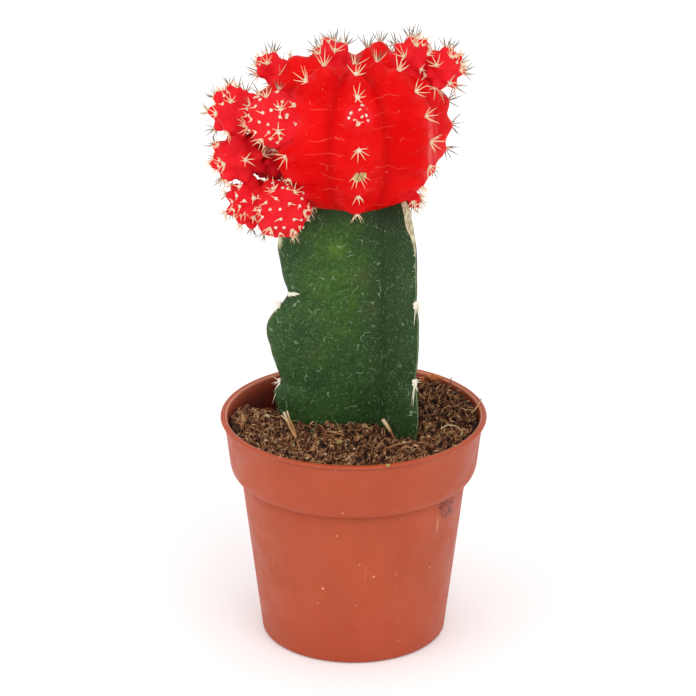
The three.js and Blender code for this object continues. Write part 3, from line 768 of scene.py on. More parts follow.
def make_pot():
    profile = pot_profile()
    turn = np.arange(POT["segments"]) * 2 * math.pi / POT["segments"]
    around = np.stack([np.cos(turn), np.sin(turn), np.zeros_like(turn)], 1)
    rings = profile[:, :1, None] * around + profile[:, 1:, None] * np.array([0, 0, 1.0])
    pot = make_piece("pot_shell", skin_over(rings))
    plugs = Heap()
    for i in range(DRAIN["count"]):
        spot = i * 2 * math.pi / DRAIN["count"]
        x, y = DRAIN["circle"] * math.cos(spot), DRAIN["circle"] * math.sin(spot)
        plugs.add(tube([(x, y, -2), (x, y, 1), (x, y, 4)], [DRAIN["radius"]] * 3, 36))
    combine(pot, [make_piece("holes", plugs.shape())], "DIFFERENCE")
    points = points_of(pot)
    radius = np.hypot(points[:, 0], points[:, 1])
    lip_inside = np.interp(points[:, 2], [0, POT["shoulder_foot"], POT["band_foot"], POT["height"]],
                           [POT["base"], POT["body"], POT["band_bottom"], POT["band_top"] - 0.45])
    depth = smoothstep(lip_inside - radius, 0.3, 0.7) * smoothstep(points[:, 2], 0.5, 1.2)
    set_fields(pot, {"inside": depth * smoothstep(POT["height"] - points[:, 2], 0.2, 0.8)})
    pot.data.materials.append(terracotta_plastic())
    return pot


# ---- Stock ----
def stock_rings(heights, grow, per_span):
    """The stock's outline at each height, and where each point lies among the outline's knots."""
    knots = []
    for wing in WINGS:
        reach = smooth_through(wing["reach"], heights) + grow
        slim = np.minimum(1, reach / 14)
        turn = math.radians(wing["angle"])
        along, left = np.array([math.cos(turn), math.sin(turn)]), np.array([-math.sin(turn), math.cos(turn)])
        sides = [(0.52, -wing["half"][1]), (0.87, -wing["near"][1]), (0.985, -wing["margin"]), (1, 0),
                 (0.985, wing["margin"]), (0.87, wing["near"][0]), (0.52, wing["half"][0])]
        for share, aside in sides:
            knots.append(STOCK_CORE + (reach * share)[:, None] * along
                         + (aside * slim + np.sign(aside) * grow)[:, None] * left)
        turn = math.radians(wing["valley_angle"])
        valley = np.array([math.cos(turn), math.sin(turn)])
        knots.append(STOCK_CORE + (wing["valley"] * np.maximum(slim, 0.6) + grow)[:, None] * valley)
    knots = np.stack(knots, 1)
    before, start, end, after = (np.roll(knots, shift, 1) for shift in (1, 0, -1, -2))
    # A curve whose pace follows the root of the gaps keeps tight turns from looping.
    first, second, third = (np.linalg.norm(q - p, axis=2, keepdims=True) ** 0.5
                            for p, q in ((before, start), (start, end), (end, after)))
    way = (end - start) / second
    slope_start = ((start - before) / first - (end - before) / (first + second) + way) * second
    slope_end = (way - (after - start) / (second + third) + (after - end) / third) * second
    steps = [hermite(i / per_span, start, end, slope_start, slope_end) for i in range(per_span)]
    flat = np.stack(steps, 2).reshape(len(heights), -1, 2)
    level = np.broadcast_to(np.asarray(heights)[:, None, None], (*flat.shape[:2], 1))
    return np.concatenate([flat, level], 2), np.arange(flat.shape[1]) / per_span


def whole_stock(grow, rows, per_span):
    return stock_rings(np.linspace(STOCK_FOOT - grow, STOCK_TOP + grow, rows), grow, per_span)


def make_stock():
    rings, knot = whole_stock(0, 250, 12)
    points, faces = skin_over(rings)
    # Edge is 1 on the wings' margins. Flank is 1 from the fold to the front wing's tip, where the skin gets
    # painted shade.
    around = WING_KNOTS * len(WINGS)
    from_tip = np.min([np.abs((knot - tip + around / 2) % around - around / 2) for tip in TIP_KNOTS], axis=0)
    front_tip = TIP_KNOTS[0]
    edge = np.clip(1 - from_tip / 3, 0, 1)
    flank = smoothstep(knot, 22.3, 23.4) + smoothstep(knot, front_tip, 2.2) * (knot < front_tip)
    edge, flank = (np.append(np.tile(field, len(rings)), [0, 0]) for field in (edge, flank))
    middle = np.array([*STOCK_CORE, 0])
    outwards = points - middle
    outwards[:, 2] = 0
    outwards /= np.maximum(np.linalg.norm(outwards, axis=1, keepdims=True), 1e-6)
    swell = 0.16 * ripple(points, 14, 5) + 0.05 * ripple(points, 4, 6)
    fade = smoothstep(STOCK_TOP - points[:, 2], 0, 3)
    points = points + outwards * (swell * fade)[:, None]
    return make_piece("stock_body", (points, faces), green_skin(), {"edge": edge, "flank": flank})


# ---- The red ball and its offsets ----
CURVE = curve_through(BALL_OUTLINE, 60)
CURVE_WAY = unit(np.gradient(CURVE, axis=0))
ARCS = np.append(0, np.cumsum(np.linalg.norm(np.diff(CURVE, axis=0), axis=1)))
BALL_ARC = ARCS[-1]
PAST_CROWN = 140  # from this point on the outline only runs down


def rib_at(azimuth):
    """The rib's number, and 1 at its crest down to 0 in the valleys beside it."""
    k = np.clip(np.searchsorted(BALL_VALLEYS, azimuth, side="right") - 1, 0, len(BALL_VALLEYS) - 2)
    share = (azimuth - BALL_VALLEYS[k]) / (BALL_VALLEYS[k + 1] - BALL_VALLEYS[k])
    return k, np.sin(math.pi * np.clip(share, 0, 1))


def areole_arc(k, i):
    """How far down the outline the i-th areole of the k-th rib lies."""
    return AREOLE_STARTS[k] + AREOLE_GAP * i


def ball_axis(z):
    """Where the ball's leaning axis stands at a height."""
    return np.stack([np.full_like(z, BALL_MIDDLE[0]), BALL_MIDDLE[1] + BALL_LEAN * (z - BALL_MIDDLE[2])], -1)


def ball_point(arc, azimuth):
    """A place on the ball's skin, so far down its outline and so far round it in degrees."""
    arc, azimuth = np.broadcast_arrays(np.asarray(arc, float), np.asarray(azimuth, float))
    held = np.clip(arc, 0, BALL_ARC)
    reach, z = np.interp(held, ARCS, CURVE[:, 0]), np.interp(held, ARCS, CURVE[:, 1])
    out, up = -np.interp(held, ARCS, CURVE_WAY[:, 1]), np.interp(held, ARCS, CURVE_WAY[:, 0])
    k, crest = rib_at(azimuth)
    rise = -RIB_DEPTH * smoothstep(BALL_ARC - arc, 8, 32) * (1 - crest ** 1.3) * np.minimum(1, reach / 7)
    bump = BALL_BUMP * smoothstep(BALL_ARC - arc, 9, 20) * crest ** 3 * np.minimum(1, reach / 6)
    for i in range(AREOLE_COUNT):
        away = (arc - areole_arc(k, i)) / (0.34 * AREOLE_GAP)
        rise = rise + bump * np.exp(-away * away)
    # The front rib ends in a small chin that hangs over the stock.
    from_chin = arc - areole_arc(FRONT_RIB, CHIN_AREOLE)
    chin = CHIN_DROP * np.exp(-((azimuth - CHIN_AZIMUTH) / 12) ** 2 - (from_chin / 3.6) ** 2)
    radius, z = reach + rise * out, z + rise * up - chin
    turn = np.radians(azimuth)
    axis = ball_axis(z)
    return np.stack([axis[..., 0] + radius * np.cos(turn), axis[..., 1] + radius * np.sin(turn), z], -1)


def ball_facing(arc, azimuth):
    """The way the ball's skin faces there."""
    place = ball_point(arc, azimuth)
    return unit(np.cross(ball_point(arc + 0.8, azimuth) - place, ball_point(arc, azimuth + 2) - place))


def offset_look(radius):
    """How many ribs an offset has, and how many rings of areoles."""
    return (6, 4) if radius >= LARGE_OFFSET else (5, 3)


def offset_turn(centre, crown):
    """The rotation that takes an offset's upright frame to its crown's direction."""
    out = unit(crown if crown else np.array(centre) - BALL_MIDDLE)
    cross = np.array([-out[1], out[0], 0])
    skew = np.array([[0, -cross[2], cross[1]], [cross[2], 0, -cross[0]], [-cross[1], cross[0], 0]])
    return np.eye(3) + skew + skew @ skew / (1 + out[2])


def offset_point(number, radius, polar, azimuth):
    """A place on an offset's skin in its own frame, by degrees from its crown and round it."""
    ribs, areole_rings = offset_look(radius)
    low, turn = np.radians(polar), np.radians(azimuth)
    crest = 1 - 0.5 * (1 - np.cos(turn * ribs)) * np.sin(low)
    knob = 0.5 + 0.5 * np.cos(2 * math.pi * polar * areole_rings / 180)
    relief = DOTTED_RELIEF if number in DOTTED else OFFSET_RELIEF
    reach = radius * (1 - relief * (1 - crest * (0.35 + 0.65 * knob)))
    way = np.stack([np.sin(low) * np.cos(turn), np.sin(low) * np.sin(turn), np.cos(low)], -1)
    return way * reach[..., None]


def on_offset(number, radius, way):
    """Where an offset's skin lies in a direction of its own frame."""
    polar, azimuth = np.degrees(np.arccos(way[2])), np.degrees(np.arctan2(way[1], way[0]))
    return offset_point(number, radius, np.array(polar), np.array(azimuth))


def crown_dots(radius, number):
    """Directions, in an offset's own frame, of the young areoles crowded at its crown."""
    if number in DOTTED:
        count, reach = 34, 1.25
    elif number == BUD:
        count, reach = 9, 1.15
    else:
        count, reach = 9 if radius >= LARGE_OFFSET else 6, min(3.0 / radius, 0.75)
    spread = math.degrees(reach)
    dots = []
    for j in range(count):
        polar = math.radians(spread * math.sqrt((j + 0.35) / count) * (0.85 + 0.3 * chance(number * 17 + j)))
        turn = math.radians(137.5 * j + 40 * chance(number * 5 + j) + 60 * number)
        dots.append((math.sin(polar) * math.cos(turn), math.sin(polar) * math.sin(turn), math.cos(polar)))
    return np.array(dots)


def offset_body(number, centre, radius, crown):
    around, rows = (108, 66) if radius >= LARGE_OFFSET else (90, 54)
    polar = np.linspace(180, 0, rows + 2)[1:-1][:, None]
    azimuth = (np.arange(around) * 360 / around)[None]
    points = offset_point(number, radius, *np.broadcast_arrays(polar, azimuth))
    points, faces = skin_over(points)
    ways = unit(points)
    lift = np.zeros(len(points))
    for dot in crown_dots(radius, number):
        away = np.arccos(np.clip(ways @ dot, -1, 1)) * radius
        lift = np.maximum(lift, DOT_RISE * np.exp(-(away / DOT_WIDTH) ** 2))
    points = points + ways * lift[:, None]
    points = points @ offset_turn(centre, crown).T + np.array(centre)
    points += unit(points - np.array(centre)) * (0.13 * ripple(points, 5.5, 40 + number))[:, None]
    return make_piece(f"offset_{number}", (points, faces))


def inside_offset(place, own=None, grow=0.0):
    """Whether a place lies within an offset other than its own, grown by so much."""
    return any(n != own and np.linalg.norm(place - np.array(centre)) < radius * 0.95 + grow
               for n, (centre, radius, _) in enumerate(OFFSETS))


def inside_ball(place):
    axis = ball_axis(np.array(place[2]))
    flank = [(z, r) for r, z in BALL_OUTLINE[2:-2]][::-1]
    flat = np.linalg.norm(place[:2] - axis)
    low, high = BALL_OUTLINE[-2][1], BALL_OUTLINE[2][1]
    return low < place[2] < high and flat < smooth_through(flank, place[2]) - 0.3


def find_areoles():
    """Every areole of the scion: its place, the way it faces, its size, its spines and their scale."""
    return [areole for k in range(len(BALL_VALLEYS) - 1) for areole in rib_areoles(k)] + [
        areole for number in range(len(OFFSETS)) if number not in NECKS for areole in offset_areoles(number)]


def rib_areoles(k):
    """The areoles down a rib of the ball. Those close to an offset have few and short spines."""
    azimuth = (BALL_VALLEYS[k] + BALL_VALLEYS[k + 1]) / 2
    for i in range(AREOLE_COUNT):
        arc = float(areole_arc(k, i))
        place = ball_point(arc, azimuth)
        if inside_offset(place):
            continue
        if inside_offset(place, None, 1.8):
            spines = 3, 0.45
        else:
            spines = (7, 0.88) if i < LOW_AREOLE else (6, 0.58)
        yield place, ball_facing(arc, azimuth), PAD, *spines


def offset_areoles(number):
    """The areoles on an offset's ribs, and the young ones at its crown."""
    centre, radius, crown = OFFSETS[number]
    ribs, areole_rings = offset_look(radius)
    turn = offset_turn(centre, crown)

    def is_bare(place):
        return not inside_offset(place, number) and not inside_ball(place)

    scale = 0.85 if centre[2] > CROWN_HEIGHT else 0.68 if centre[2] > MIDDLE_HEIGHT else 0.56
    spots = [] if number == BUD else [(row, k) for row in range(1, areole_rings) for k in range(ribs)]
    for row, k in spots:
        own = offset_point(number, radius, np.array(180 / areole_rings * row), np.array(360 * k / ribs))
        place = turn @ own + np.array(centre)
        if is_bare(place):
            spines = (3, 0.45) if inside_offset(place, number, 1.6) else (6, scale)
            yield place, unit(place - np.array(centre)), OFFSET_PAD, *spines
    for j, dot in enumerate(crown_dots(radius, number)):
        place = turn @ (on_offset(number, radius, dot) + dot * 0.42) + np.array(centre)
        if not is_bare(place):
            continue
        if number == BUD:
            count = 0
        elif number in DOTTED:
            count = j % 3
        else:
            count = 2 if j % 3 else 4
        yield place, turn @ dot, BUD_DOT if number == BUD else DOT, count, 0.42


AREOLES = find_areoles()


def make_scion():
    rows, per_rib = 150, 28  # of points
    azimuths = np.concatenate([np.linspace(a, b, per_rib, endpoint=False)
                               for a, b in zip(BALL_VALLEYS[:-1], BALL_VALLEYS[1:])])
    arcs = (BALL_ARC * (np.arange(rows, 0, -1) - 0.5) / rows)[:, None]
    points, faces = skin_over(ball_point(arcs, azimuths[None]))
    swell = 0.14 * ripple(points, 8, 21) + 0.05 * ripple(points, 2.6, 22)
    points = points + unit(points - BALL_MIDDLE) * swell[:, None]
    scion = make_piece("scion_flesh", (points, faces))
    combine(scion, [offset_body(n, *offset) for n, offset in enumerate(OFFSETS)], "UNION")
    rings, _ = whole_stock(0.12, 60, 4)
    combine(scion, [make_piece("graft", skin_over(rings))], "DIFFERENCE")
    points = points_of(scion)
    # Where each point lies on the ball's ribs.
    axis = ball_axis(points[:, 2])
    flat = points[:, :2] - axis
    azimuth = np.degrees(np.arctan2(flat[:, 1], flat[:, 0]))
    azimuth = (azimuth - BALL_VALLEYS[0]) % 360 + BALL_VALLEYS[0]
    _, crest = rib_at(azimuth)
    from_offset = np.min([np.linalg.norm(points - np.array(centre), axis=1) - radius
                          for centre, radius, _ in OFFSETS], axis=0)
    on_ball = smoothstep(from_offset, 0.0, 0.8)
    places = np.array([areole[0] for areole in AREOLES])
    nearest = np.min([np.linalg.norm(points - place, axis=1) for place in places], axis=0)
    set_fields(scion, {
        "arc": np.interp(-points[:, 2], -CURVE[PAST_CROWN:, 1], ARCS[PAST_CROWN:]),
        "flank": (1 - crest) * on_ball,
        # Hollow shade is painted shade: 1 in the ribs' valleys and on the offsets away from their areoles.
        "hollow_shade": np.maximum((1 - crest ** 0.6) * on_ball, smoothstep(nearest, 1.6, 3.2) * (1 - on_ball)),
        "bloom": np.exp(-(nearest / 2.2) ** 2), "young": 1 - on_ball,
    })
    scion.data.materials.append(red_flesh())
    return scion


def add_pad(heap, place, facing, size, shade):
    """A small cushion of felt."""
    across, other = facing_frame(facing)
    unit_points, faces = ROUND
    points = lumpy(unit_points, 0.16, unit_points * 3 + place * 7, 2.4, 77) * size
    points = points[:, :1] * across + points[:, 1:2] * other + points[:, 2:] * facing * 0.62
    heap.add((points + place + facing * 0.05, faces), shade)


def add_spine(heap, root, way, lift, length, radius, worn_and_shaded):
    """A curved, tapered spine. Its way is where it starts out, and lift is where it bends to."""
    taper = np.array([1.0, 0.92, 0.8, 0.64, 0.42, 0.1])
    sides, tip_shade = 5, 0.97
    t = np.linspace(0, 1, len(taper))[:, None]
    path = root + way * (length * t) + lift * (length * 0.22) * t ** 2
    # The shade runs from root to tip, and that of a spine with weathered, painted-shade tips lies past 1.
    shade = np.append(np.repeat(t[:, 0] * tip_shade, sides), [0, tip_shade]) + (1.001 if worn_and_shaded else 0.0)
    heap.add(tube(path, radius * taper, sides), shade)


def make_spines(wool):
    """The felt and the spines of every areole on the scion."""
    pads, spines = Heap(), Heap()
    draw = np.random.default_rng(8)
    for place, facing, size, count, scale in AREOLES:
        is_dot = size < OFFSET_PAD
        add_pad(pads, place, facing, size, draw.uniform(0.2, 0.9) if is_dot else draw.uniform(0, 0.6))
        across, other = facing_frame(facing)
        # Spines that face away get dark tips, partly weathering and partly painted shade, and more so on the
        # crown and under the left offsets.
        on_crown = place[2] > 120 and place[1] > 2
        hanging = place[0] < -15 and facing[2] < -0.35
        shade_and_weathering = 0.4 if on_crown or hanging else 0
        start = draw.uniform(0, 2 * math.pi)
        rise = np.array([0, 0, 1.0]) * np.clip((place[2] - 108) / 16, -0.8, 0.9)
        for i in range(count):
            turn = start + (i + draw.uniform(-0.25, 0.25)) * 2 * math.pi / count
            lean = math.radians(draw.uniform(34, 66))
            aside = across * math.cos(turn) + other * math.sin(turn)
            way = unit(aside * math.sin(lean) + facing * math.cos(lean) + 0.35 * rise)
            length = draw.uniform(2.2, 3.5) * scale
            root = place + aside * size * 0.35 - facing * 0.15
            worn_and_shaded = scale > 0.45 and facing[1] > draw.uniform(-0.25, 0.1) - shade_and_weathering
            add_spine(spines, root, way, unit(facing + rise), length, draw.uniform(0.11, 0.15), worn_and_shaded)
    cream = horn("spine_horn", (0.80, 0.30, 0.18), (0.88, 0.65, 0.40), (0.76, 0.54, 0.32))
    return pads.piece("scion_areoles", wool), spines.piece("scion_spines", cream)


def make_stock_spines(wool):
    """The felt and the spines on the margins of the wings. The two lowest spines of each areole are long."""
    pads, spines = Heap(), Heap()
    draw = np.random.default_rng(12)
    up = np.array([0, 0, 1.0])
    spine_count, long_ones = 7, 2
    for wing in WINGS:
        turn = math.radians(wing["angle"])
        facing = np.array([math.cos(turn), math.sin(turn), 0])
        side = np.array([-facing[1], facing[0], 0])
        for z in wing["areoles"]:
            reach = float(smooth_through(wing["reach"], z))
            place = np.array([*STOCK_CORE, z]) + facing * (reach + 0.05)
            for shift in (-0.35, 0.3):
                add_pad(pads, place + up * shift, facing, draw.uniform(0.5, 0.62), 1.0)
            for i in range(spine_count):
                fan = math.radians(-70 + 140 * i / (spine_count - 1) + draw.uniform(-9, 9))
                way = unit(facing * math.cos(fan) * 0.8 + side * draw.uniform(-0.5, 0.5)
                           + up * math.sin(fan) * 0.8 - up * 0.35)
                length = draw.uniform(1.5, 2.4) + (2.0 if i < long_ones else 0)
                add_spine(spines, place, way, -up, length, draw.uniform(0.10, 0.14), False)
    pale = horn("stock_horn", (0.80, 0.76, 0.56), (0.84, 0.80, 0.60), (0.70, 0.64, 0.44))
    return pads.piece("stock_areoles", wool), spines.piece("stock_spines", pale)


# ---- Soil ----
def soil_height(x, y):
    """The height of the soil's surface: level, with its heaps, hollows and a fine unevenness."""
    z = np.full(np.shape(x), SOIL_LEVEL)
    for heap_x, heap_y, rise, spread in SOIL_HEAPS:
        z = z + rise * np.exp(-((x - heap_x) ** 2 + (y - heap_y) ** 2) / spread ** 2)
    wave = np.sin(1.9 * x + 0.7 * y) + np.sin(2.3 * y - 1.1 * x + 2) + np.sin(1.3 * (x + y))
    return np.minimum(z + SOIL_CRUMB * wave, POT["height"] - 0.5)


def wall_radius(z):
    """The inner radius of the pot's wall beside the soil's surface."""
    share = (z - POT["band_foot"]) / (POT["height"] - 0.7 - POT["band_foot"])
    return POT["band_bottom"] + (POT["band_top"] - POT["band_bottom"]) * share - POT["wall"]


def in_stock(x, y, grow=0.0):
    """Whether places on the soil lie within the stock."""
    ring, _ = stock_rings(np.array([SOIL_LEVEL]), grow, 6)
    ring = ring[0, :, :2]
    after = np.roll(ring, -1, 0)
    x, y = np.atleast_1d(x)[:, None], np.atleast_1d(y)[:, None]
    spans = (ring[:, 1] > y) != (after[:, 1] > y)
    with np.errstate(divide="ignore", invalid="ignore"):
        cross = ring[:, 0] + (y - ring[:, 1]) / (after[:, 1] - ring[:, 1]) * (after[:, 0] - ring[:, 0])
    return (spans & (x < cross)).sum(1) % 2 == 1


def make_soil():
    around, rows, gap = 240, 90, 0.3  # the gap is to the pot
    turn = np.arange(around) * 2 * math.pi / around
    spokes = np.stack([np.cos(turn), np.sin(turn)], 1)
    rings = []
    foot = (POT["base"] - POT["wall"] - gap, POT["floor"] + gap)
    for radius, z in [foot, *shoulder_curve(POT["wall"] + gap, 2)]:
        rings.append(np.column_stack([radius * spokes, np.full(around, z)]))
    for i in range(rows):
        share = 1 - i / (rows + 0.5)
        edge = soil_height(24.5 * spokes[:, 0], 24.5 * spokes[:, 1])
        radius = (wall_radius(edge) - gap) * share
        flat = radius[:, None] * spokes
        z = soil_height(flat[:, 0], flat[:, 1])
        spots = np.column_stack([flat, z])
        uneven = 0.35 * ripple(spots, 2.6, 51) + 0.22 * ripple(spots, 1.1, 52)
        z = z + uneven * smoothstep(share, 1.0, 0.97) - 0.35
        rings.append(np.column_stack([flat, z]))
    points, faces = skin_over(np.array(rings))
    finish = peat("peat_bed", [(0.2, (0.010, 0.004, 0.002)), (0.5, (0.030, 0.013, 0.007)),
                               (0.9, (0.090, 0.045, 0.022))], 0.95)
    bed = make_piece("soil_bed", (points, faces), None, {"shade": 0.5 + 0.3 * ripple(points, 3, 53)})
    hole, _ = whole_stock(0.1, 60, 4)
    combine(bed, [make_piece("stock_hole", skin_over(hole))], "DIFFERENCE")
    bed.data.materials.append(finish)
    return bed


def scatter(draw, count, margin):
    """Places on the soil, clear of the stock."""
    radius = np.sqrt(draw.uniform(0, 1, count)) * (25.4 - margin)
    turn = draw.uniform(0, 2 * math.pi, count)
    x, y = radius * np.cos(turn), radius * np.sin(turn)
    clear = ~in_stock(x, y, 0.15)
    return x[clear], y[clear]


def make_crumbs():
    heap = Heap()
    draw = np.random.default_rng(31)
    for x, y in zip(*scatter(draw, CRUMBS, 0.7)):
        size = min(CRUMB["least"] + draw.exponential(CRUMB["spread"]), CRUMB["most"])
        pale = draw.uniform() > PALE_FROM
        size = min(size, CRUMB["pale_most"]) if pale else size
        z = float(soil_height(x, y))
        if math.hypot(x, y) + size > wall_radius(z) - 0.1:
            continue
        unit_points, faces = ROUND if size > CRUMB["fine_from"] else COARSE_ROUND
        stretch = draw.uniform(0.6, 1.3, 3) * size
        spin, _ = np.linalg.qr(draw.normal(size=(3, 3)))
        if np.linalg.det(spin) < 0:
            spin[:, 0] *= -1
        points = lumpy(unit_points, 0.22, unit_points * 3 + x, 2.2, 5) * stretch @ spin.T
        shade = draw.uniform(1.2, 1.5) if pale else draw.uniform(0.0, 0.72)
        heap.add((points + [x, y, z + draw.uniform(-0.45, 0.15) - 0.1], faces), shade)
    finish = peat("peat_crumb", [(0.1, (0.012, 0.004, 0.002)), (0.35, (0.062, 0.020, 0.008)),
                                 (0.62, (0.225, 0.090, 0.036)), (0.85, (0.55, 0.40, 0.19)),
                                 (1.0, (0.78, 0.66, 0.42))], 0.9)
    return heap.piece("soil_crumbs", finish)


def fibre_path(draw, x, y, length, curl, steps):
    """A wandering line over the soil, seen from above."""
    heading = draw.uniform(0, 2 * math.pi)
    bend = draw.normal(0, curl)
    path = []
    for _ in range(steps):
        path.append((x, y))
        heading += bend / steps + draw.normal(0, 0.25)
        x += math.cos(heading) * length / steps
        y += math.sin(heading) * length / steps
    return np.array(path)


def make_fibres():
    heap = Heap()
    draw = np.random.default_rng(47)
    steps = FIBRE["steps"]
    for x, y in zip(*scatter(draw, FIBRES, 0.8)):
        length = draw.uniform(*FIBRE["length"])
        flat = fibre_path(draw, x, y, length, FIBRE["curl"], steps)
        if in_stock(flat[:, 0], flat[:, 1], 0.25).any():
            continue
        z = soil_height(flat[:, 0], flat[:, 1])
        if (np.hypot(flat[:, 0], flat[:, 1]) > wall_radius(z) - 0.25).any():
            continue
        arch = np.sin(np.linspace(0, math.pi, steps)) * draw.uniform(0.0, 0.85)
        tilt = np.linspace(-0.5, 0.5, steps) * draw.normal(0, 0.7)
        path = np.column_stack([flat, z - 0.12 + arch + tilt])
        radius = draw.uniform(*FIBRE["radius"])
        radii = radius * np.array([0.5, 0.9, 1, 1, 0.95, 0.8, 0.4])
        heap.add(tube(path, radii, 4), min(draw.beta(1.6, 3.0) * 1.3, 1.2))
    finish = peat("coir", [(0.1, (0.040, 0.012, 0.005)), (0.4, (0.185, 0.064, 0.025)),
                           (0.65, (0.470, 0.220, 0.095)), (0.95, (0.76, 0.54, 0.29))], 0.8)
    return heap.piece("soil_fibres", finish)


# ---- Straws and other bits on the soil ----
def strand(heap, points, radius, end_radius, shades, sides=8, ridge=0.0):
    """A straw, twig or fibre through points, its shades running from its start to its end."""
    path = curve_through(points, 8)
    share = np.linspace(0, 1, len(path))
    radii = radius + (end_radius - radius) * share
    shape, faces = tube(path, radii * (1 + ridge * np.sin(share * 40)), sides)
    shade = np.interp(share, np.linspace(0, 1, len(shades)), shades)
    heap.add((shape, faces), np.append(np.repeat(shade, sides), [shade[0], shade[-1]]))


def strands(*rows):
    heap = Heap()
    for row in rows:
        strand(heap, *row)
    return heap


def make_straws(finish):
    """Two dry straws: the left one split into three at its top, the right one with a knob at its end."""
    left = strands(
        ([(-10.0, -11.5, 43.5), (-11.6, -10.1, 46.6), (-13.0, -8.9, 49.0), (-14.3, -7.7, 51.8)],
         0.27, 0.25, [0.1, 0.45, 0.7, 1.0], 8, 0.05),
        ([(-11.4, -10.3, 46.2), (-12.1, -9.3, 48.4), (-13.1, -8.2, 50.4), (-13.6, -7.6, 52.0)],
         0.15, 0.18, [0.2, 0.5, 1.0], 7, 0.06),
        ([(-12.6, -9.2, 48.3), (-13.9, -8.6, 50.4), (-14.8, -8.0, 51.2)], 0.15, 0.13, [0.5, 0.8, 1.0], 7),
    )
    right = strands(
        ([(10.0, -11.4, 44.0), (8.6, -9.6, 46.2), (7.4, -7.9, 47.9)], 0.22, 0.24, [0.0, 0.0, 0.1], 9, 0.10),
        ([(7.6, -8.2, 47.6), (6.8, -7.1, 48.6), (6.05, -6.1, 49.3)],
         0.32, 0.42, [0.5, 0.8, 1.0, 0.9], 9, 0.16),
    )
    return left.piece("straw_left_stem", finish), right.piece("straw_right_stem", finish)


def make_litter(finish):
    """Loose bits: the left straw's end, a long straw at the rim, a reddish twig, pale fibres and twigs."""
    heap = strands(
        ([(-11.7, -10.2, 46.9), (-11.4, -12.2, 46.8), (-11.0, -14.2, 46.6), (-10.6, -15.8, 46.2)],
         0.2, 0.13, [0.25, 0.3, 0.2]),
        ([(26.6, 6.4, 48.7), (26.0, 4.6, 48.2), (24.9, 2.5, 47.6), (24.0, 0.6, 47.4)],
         0.16, 0.12, [0.75, 0.7, 0.6]),
        ([(5.9, -15.6, 46.6), (8.4, -13.9, 47.1), (11.6, -12.0, 47.0)], 0.2, 0.14, [0.15, 0.35, 0.5]),
        ([(-6.8, -16.0, 46.5), (-5.6, -17.6, 46.7)], 0.26, 0.2, [1.0, 0.9]),
        ([(20.0, 15.0, 47.5), (20.4, 14.2, 49.0), (20.5, 13.9, 50.4)], 0.15, 0.1, [0.25, 0.35]),
        ([(20.9, 6.4, 47.0), (20.2, 5.6, 48.8), (19.9, 5.2, 50.2)], 0.14, 0.1, [0.3, 0.5]),
        ([(-7.4, -6.4, 46.9), (-5.6, -7.2, 47.3), (-3.2, -7.0, 47.0)], 0.2, 0.14, [0.35, 0.5, 0.3]),
        ([(-5.4, -6.6, 46.9), (-3.6, -8.0, 47.2), (-1.9, -8.2, 46.8)], 0.16, 0.12, [0.55, 0.4]),
        ([(17.9, -5.7, 47.2), (19.2, -4.9, 47.6), (20.9, -5.3, 47.6), (22.3, -7.0, 47.2)],
         0.13, 0.11, [0.9, 1.0, 0.85]),
        ([(15.5, 8.0, 47.2), (15.9, 8.6, 49.1), (16.3, 8.9, 50.2)], 0.13, 0.08, [0.3, 0.5]),
    )
    return heap.piece("soil_litter", finish)


def make_lumps():
    """Chips of bark and pale grit, some of it fallen on the lip."""
    heap = Heap()
    unit_points, faces = FINE_ROUND
    lumps = [
        ((-18.0, 1.0, 47.0), (0.7, 0.5, 0.5), 0.95), ((16.9, 18.4, 48.3), (1.7, 0.9, 0.9), 0.3),
        ((14.4, 19.0, 47.6), (1.0, 0.8, 0.7), 0.3), ((-2.8, -11.0, 46.5), (0.7, 0.5, 0.5), 0.72),
        ((10.2, -12.4, 47.1), (0.4, 0.3, 0.25), 1.1), ((-17.6, -13.0, 45.9), (0.4, 0.4, 0.3), 1.1),
        ((-5.6, -17.9, 45.7), (0.45, 0.35, 0.3), 1.1), ((-12.2, -11.6, 46.0), (0.5, 0.4, 0.35), 0.85),
        ((6.9, -26.4, 48.25), (0.5, 0.35, 0.22), 0.8), ((20.6, -16.9, 48.2), (0.55, 0.4, 0.2), 0.7),
        ((-3.4, -24.2, 45.6), (0.5, 0.4, 0.3), 0.75),
    ]
    for n, (place, size, shade) in enumerate(lumps):
        points = lumpy(unit_points, 0.2, unit_points * 3 + n * 9, 2.0, 60 + n) * np.array(size)
        heap.add((points + np.array(place), faces), shade)
    return heap.piece("soil_lumps", bark_and_grit())


def make_blade():
    """Two thin green blades that grow beside the stock."""
    heap = strands(
        ([(-8.6, -7.6, 45.6), (-8.1, -6.8, 47.2), (-7.5, -5.6, 49.0)], 0.14, 0.07, [0.1, 0.3]),
        ([(-8.9, -7.9, 45.6), (-8.9, -7.4, 46.8), (-8.5, -7.0, 47.7)], 0.12, 0.06, [0.1, 0.3]),
    )
    return heap.piece("green_blade", young_green())


def make_dry_bud():
    """A dried flower bud on the front rib, as a cluster of small lumps round one of its areoles."""
    heap = Heap()
    unit_points, faces = FINE_ROUND
    draw = np.random.default_rng(71)
    azimuth = (BALL_VALLEYS[FRONT_RIB] + BALL_VALLEYS[FRONT_RIB + 1]) / 2
    arc = float(areole_arc(FRONT_RIB, DRY_BUD_AREOLE))
    place, facing = ball_point(arc, azimuth), ball_facing(arc, azimuth)
    across, other = facing_frame(facing)
    for i in range(13):
        turn = i * 2.4
        aside = across * math.cos(turn) + other * math.sin(turn)
        spot = place + aside * (0.34 * math.sqrt(i)) + facing * 0.35
        size = draw.uniform(0.28, 0.42)
        points = lumpy(unit_points, 0.18, unit_points * 2 + i, 1.6, 90 + i) * size
        heap.add((points + spot, faces), draw.uniform(0, 1))
    return heap.piece("dried_bud", dried_petals())


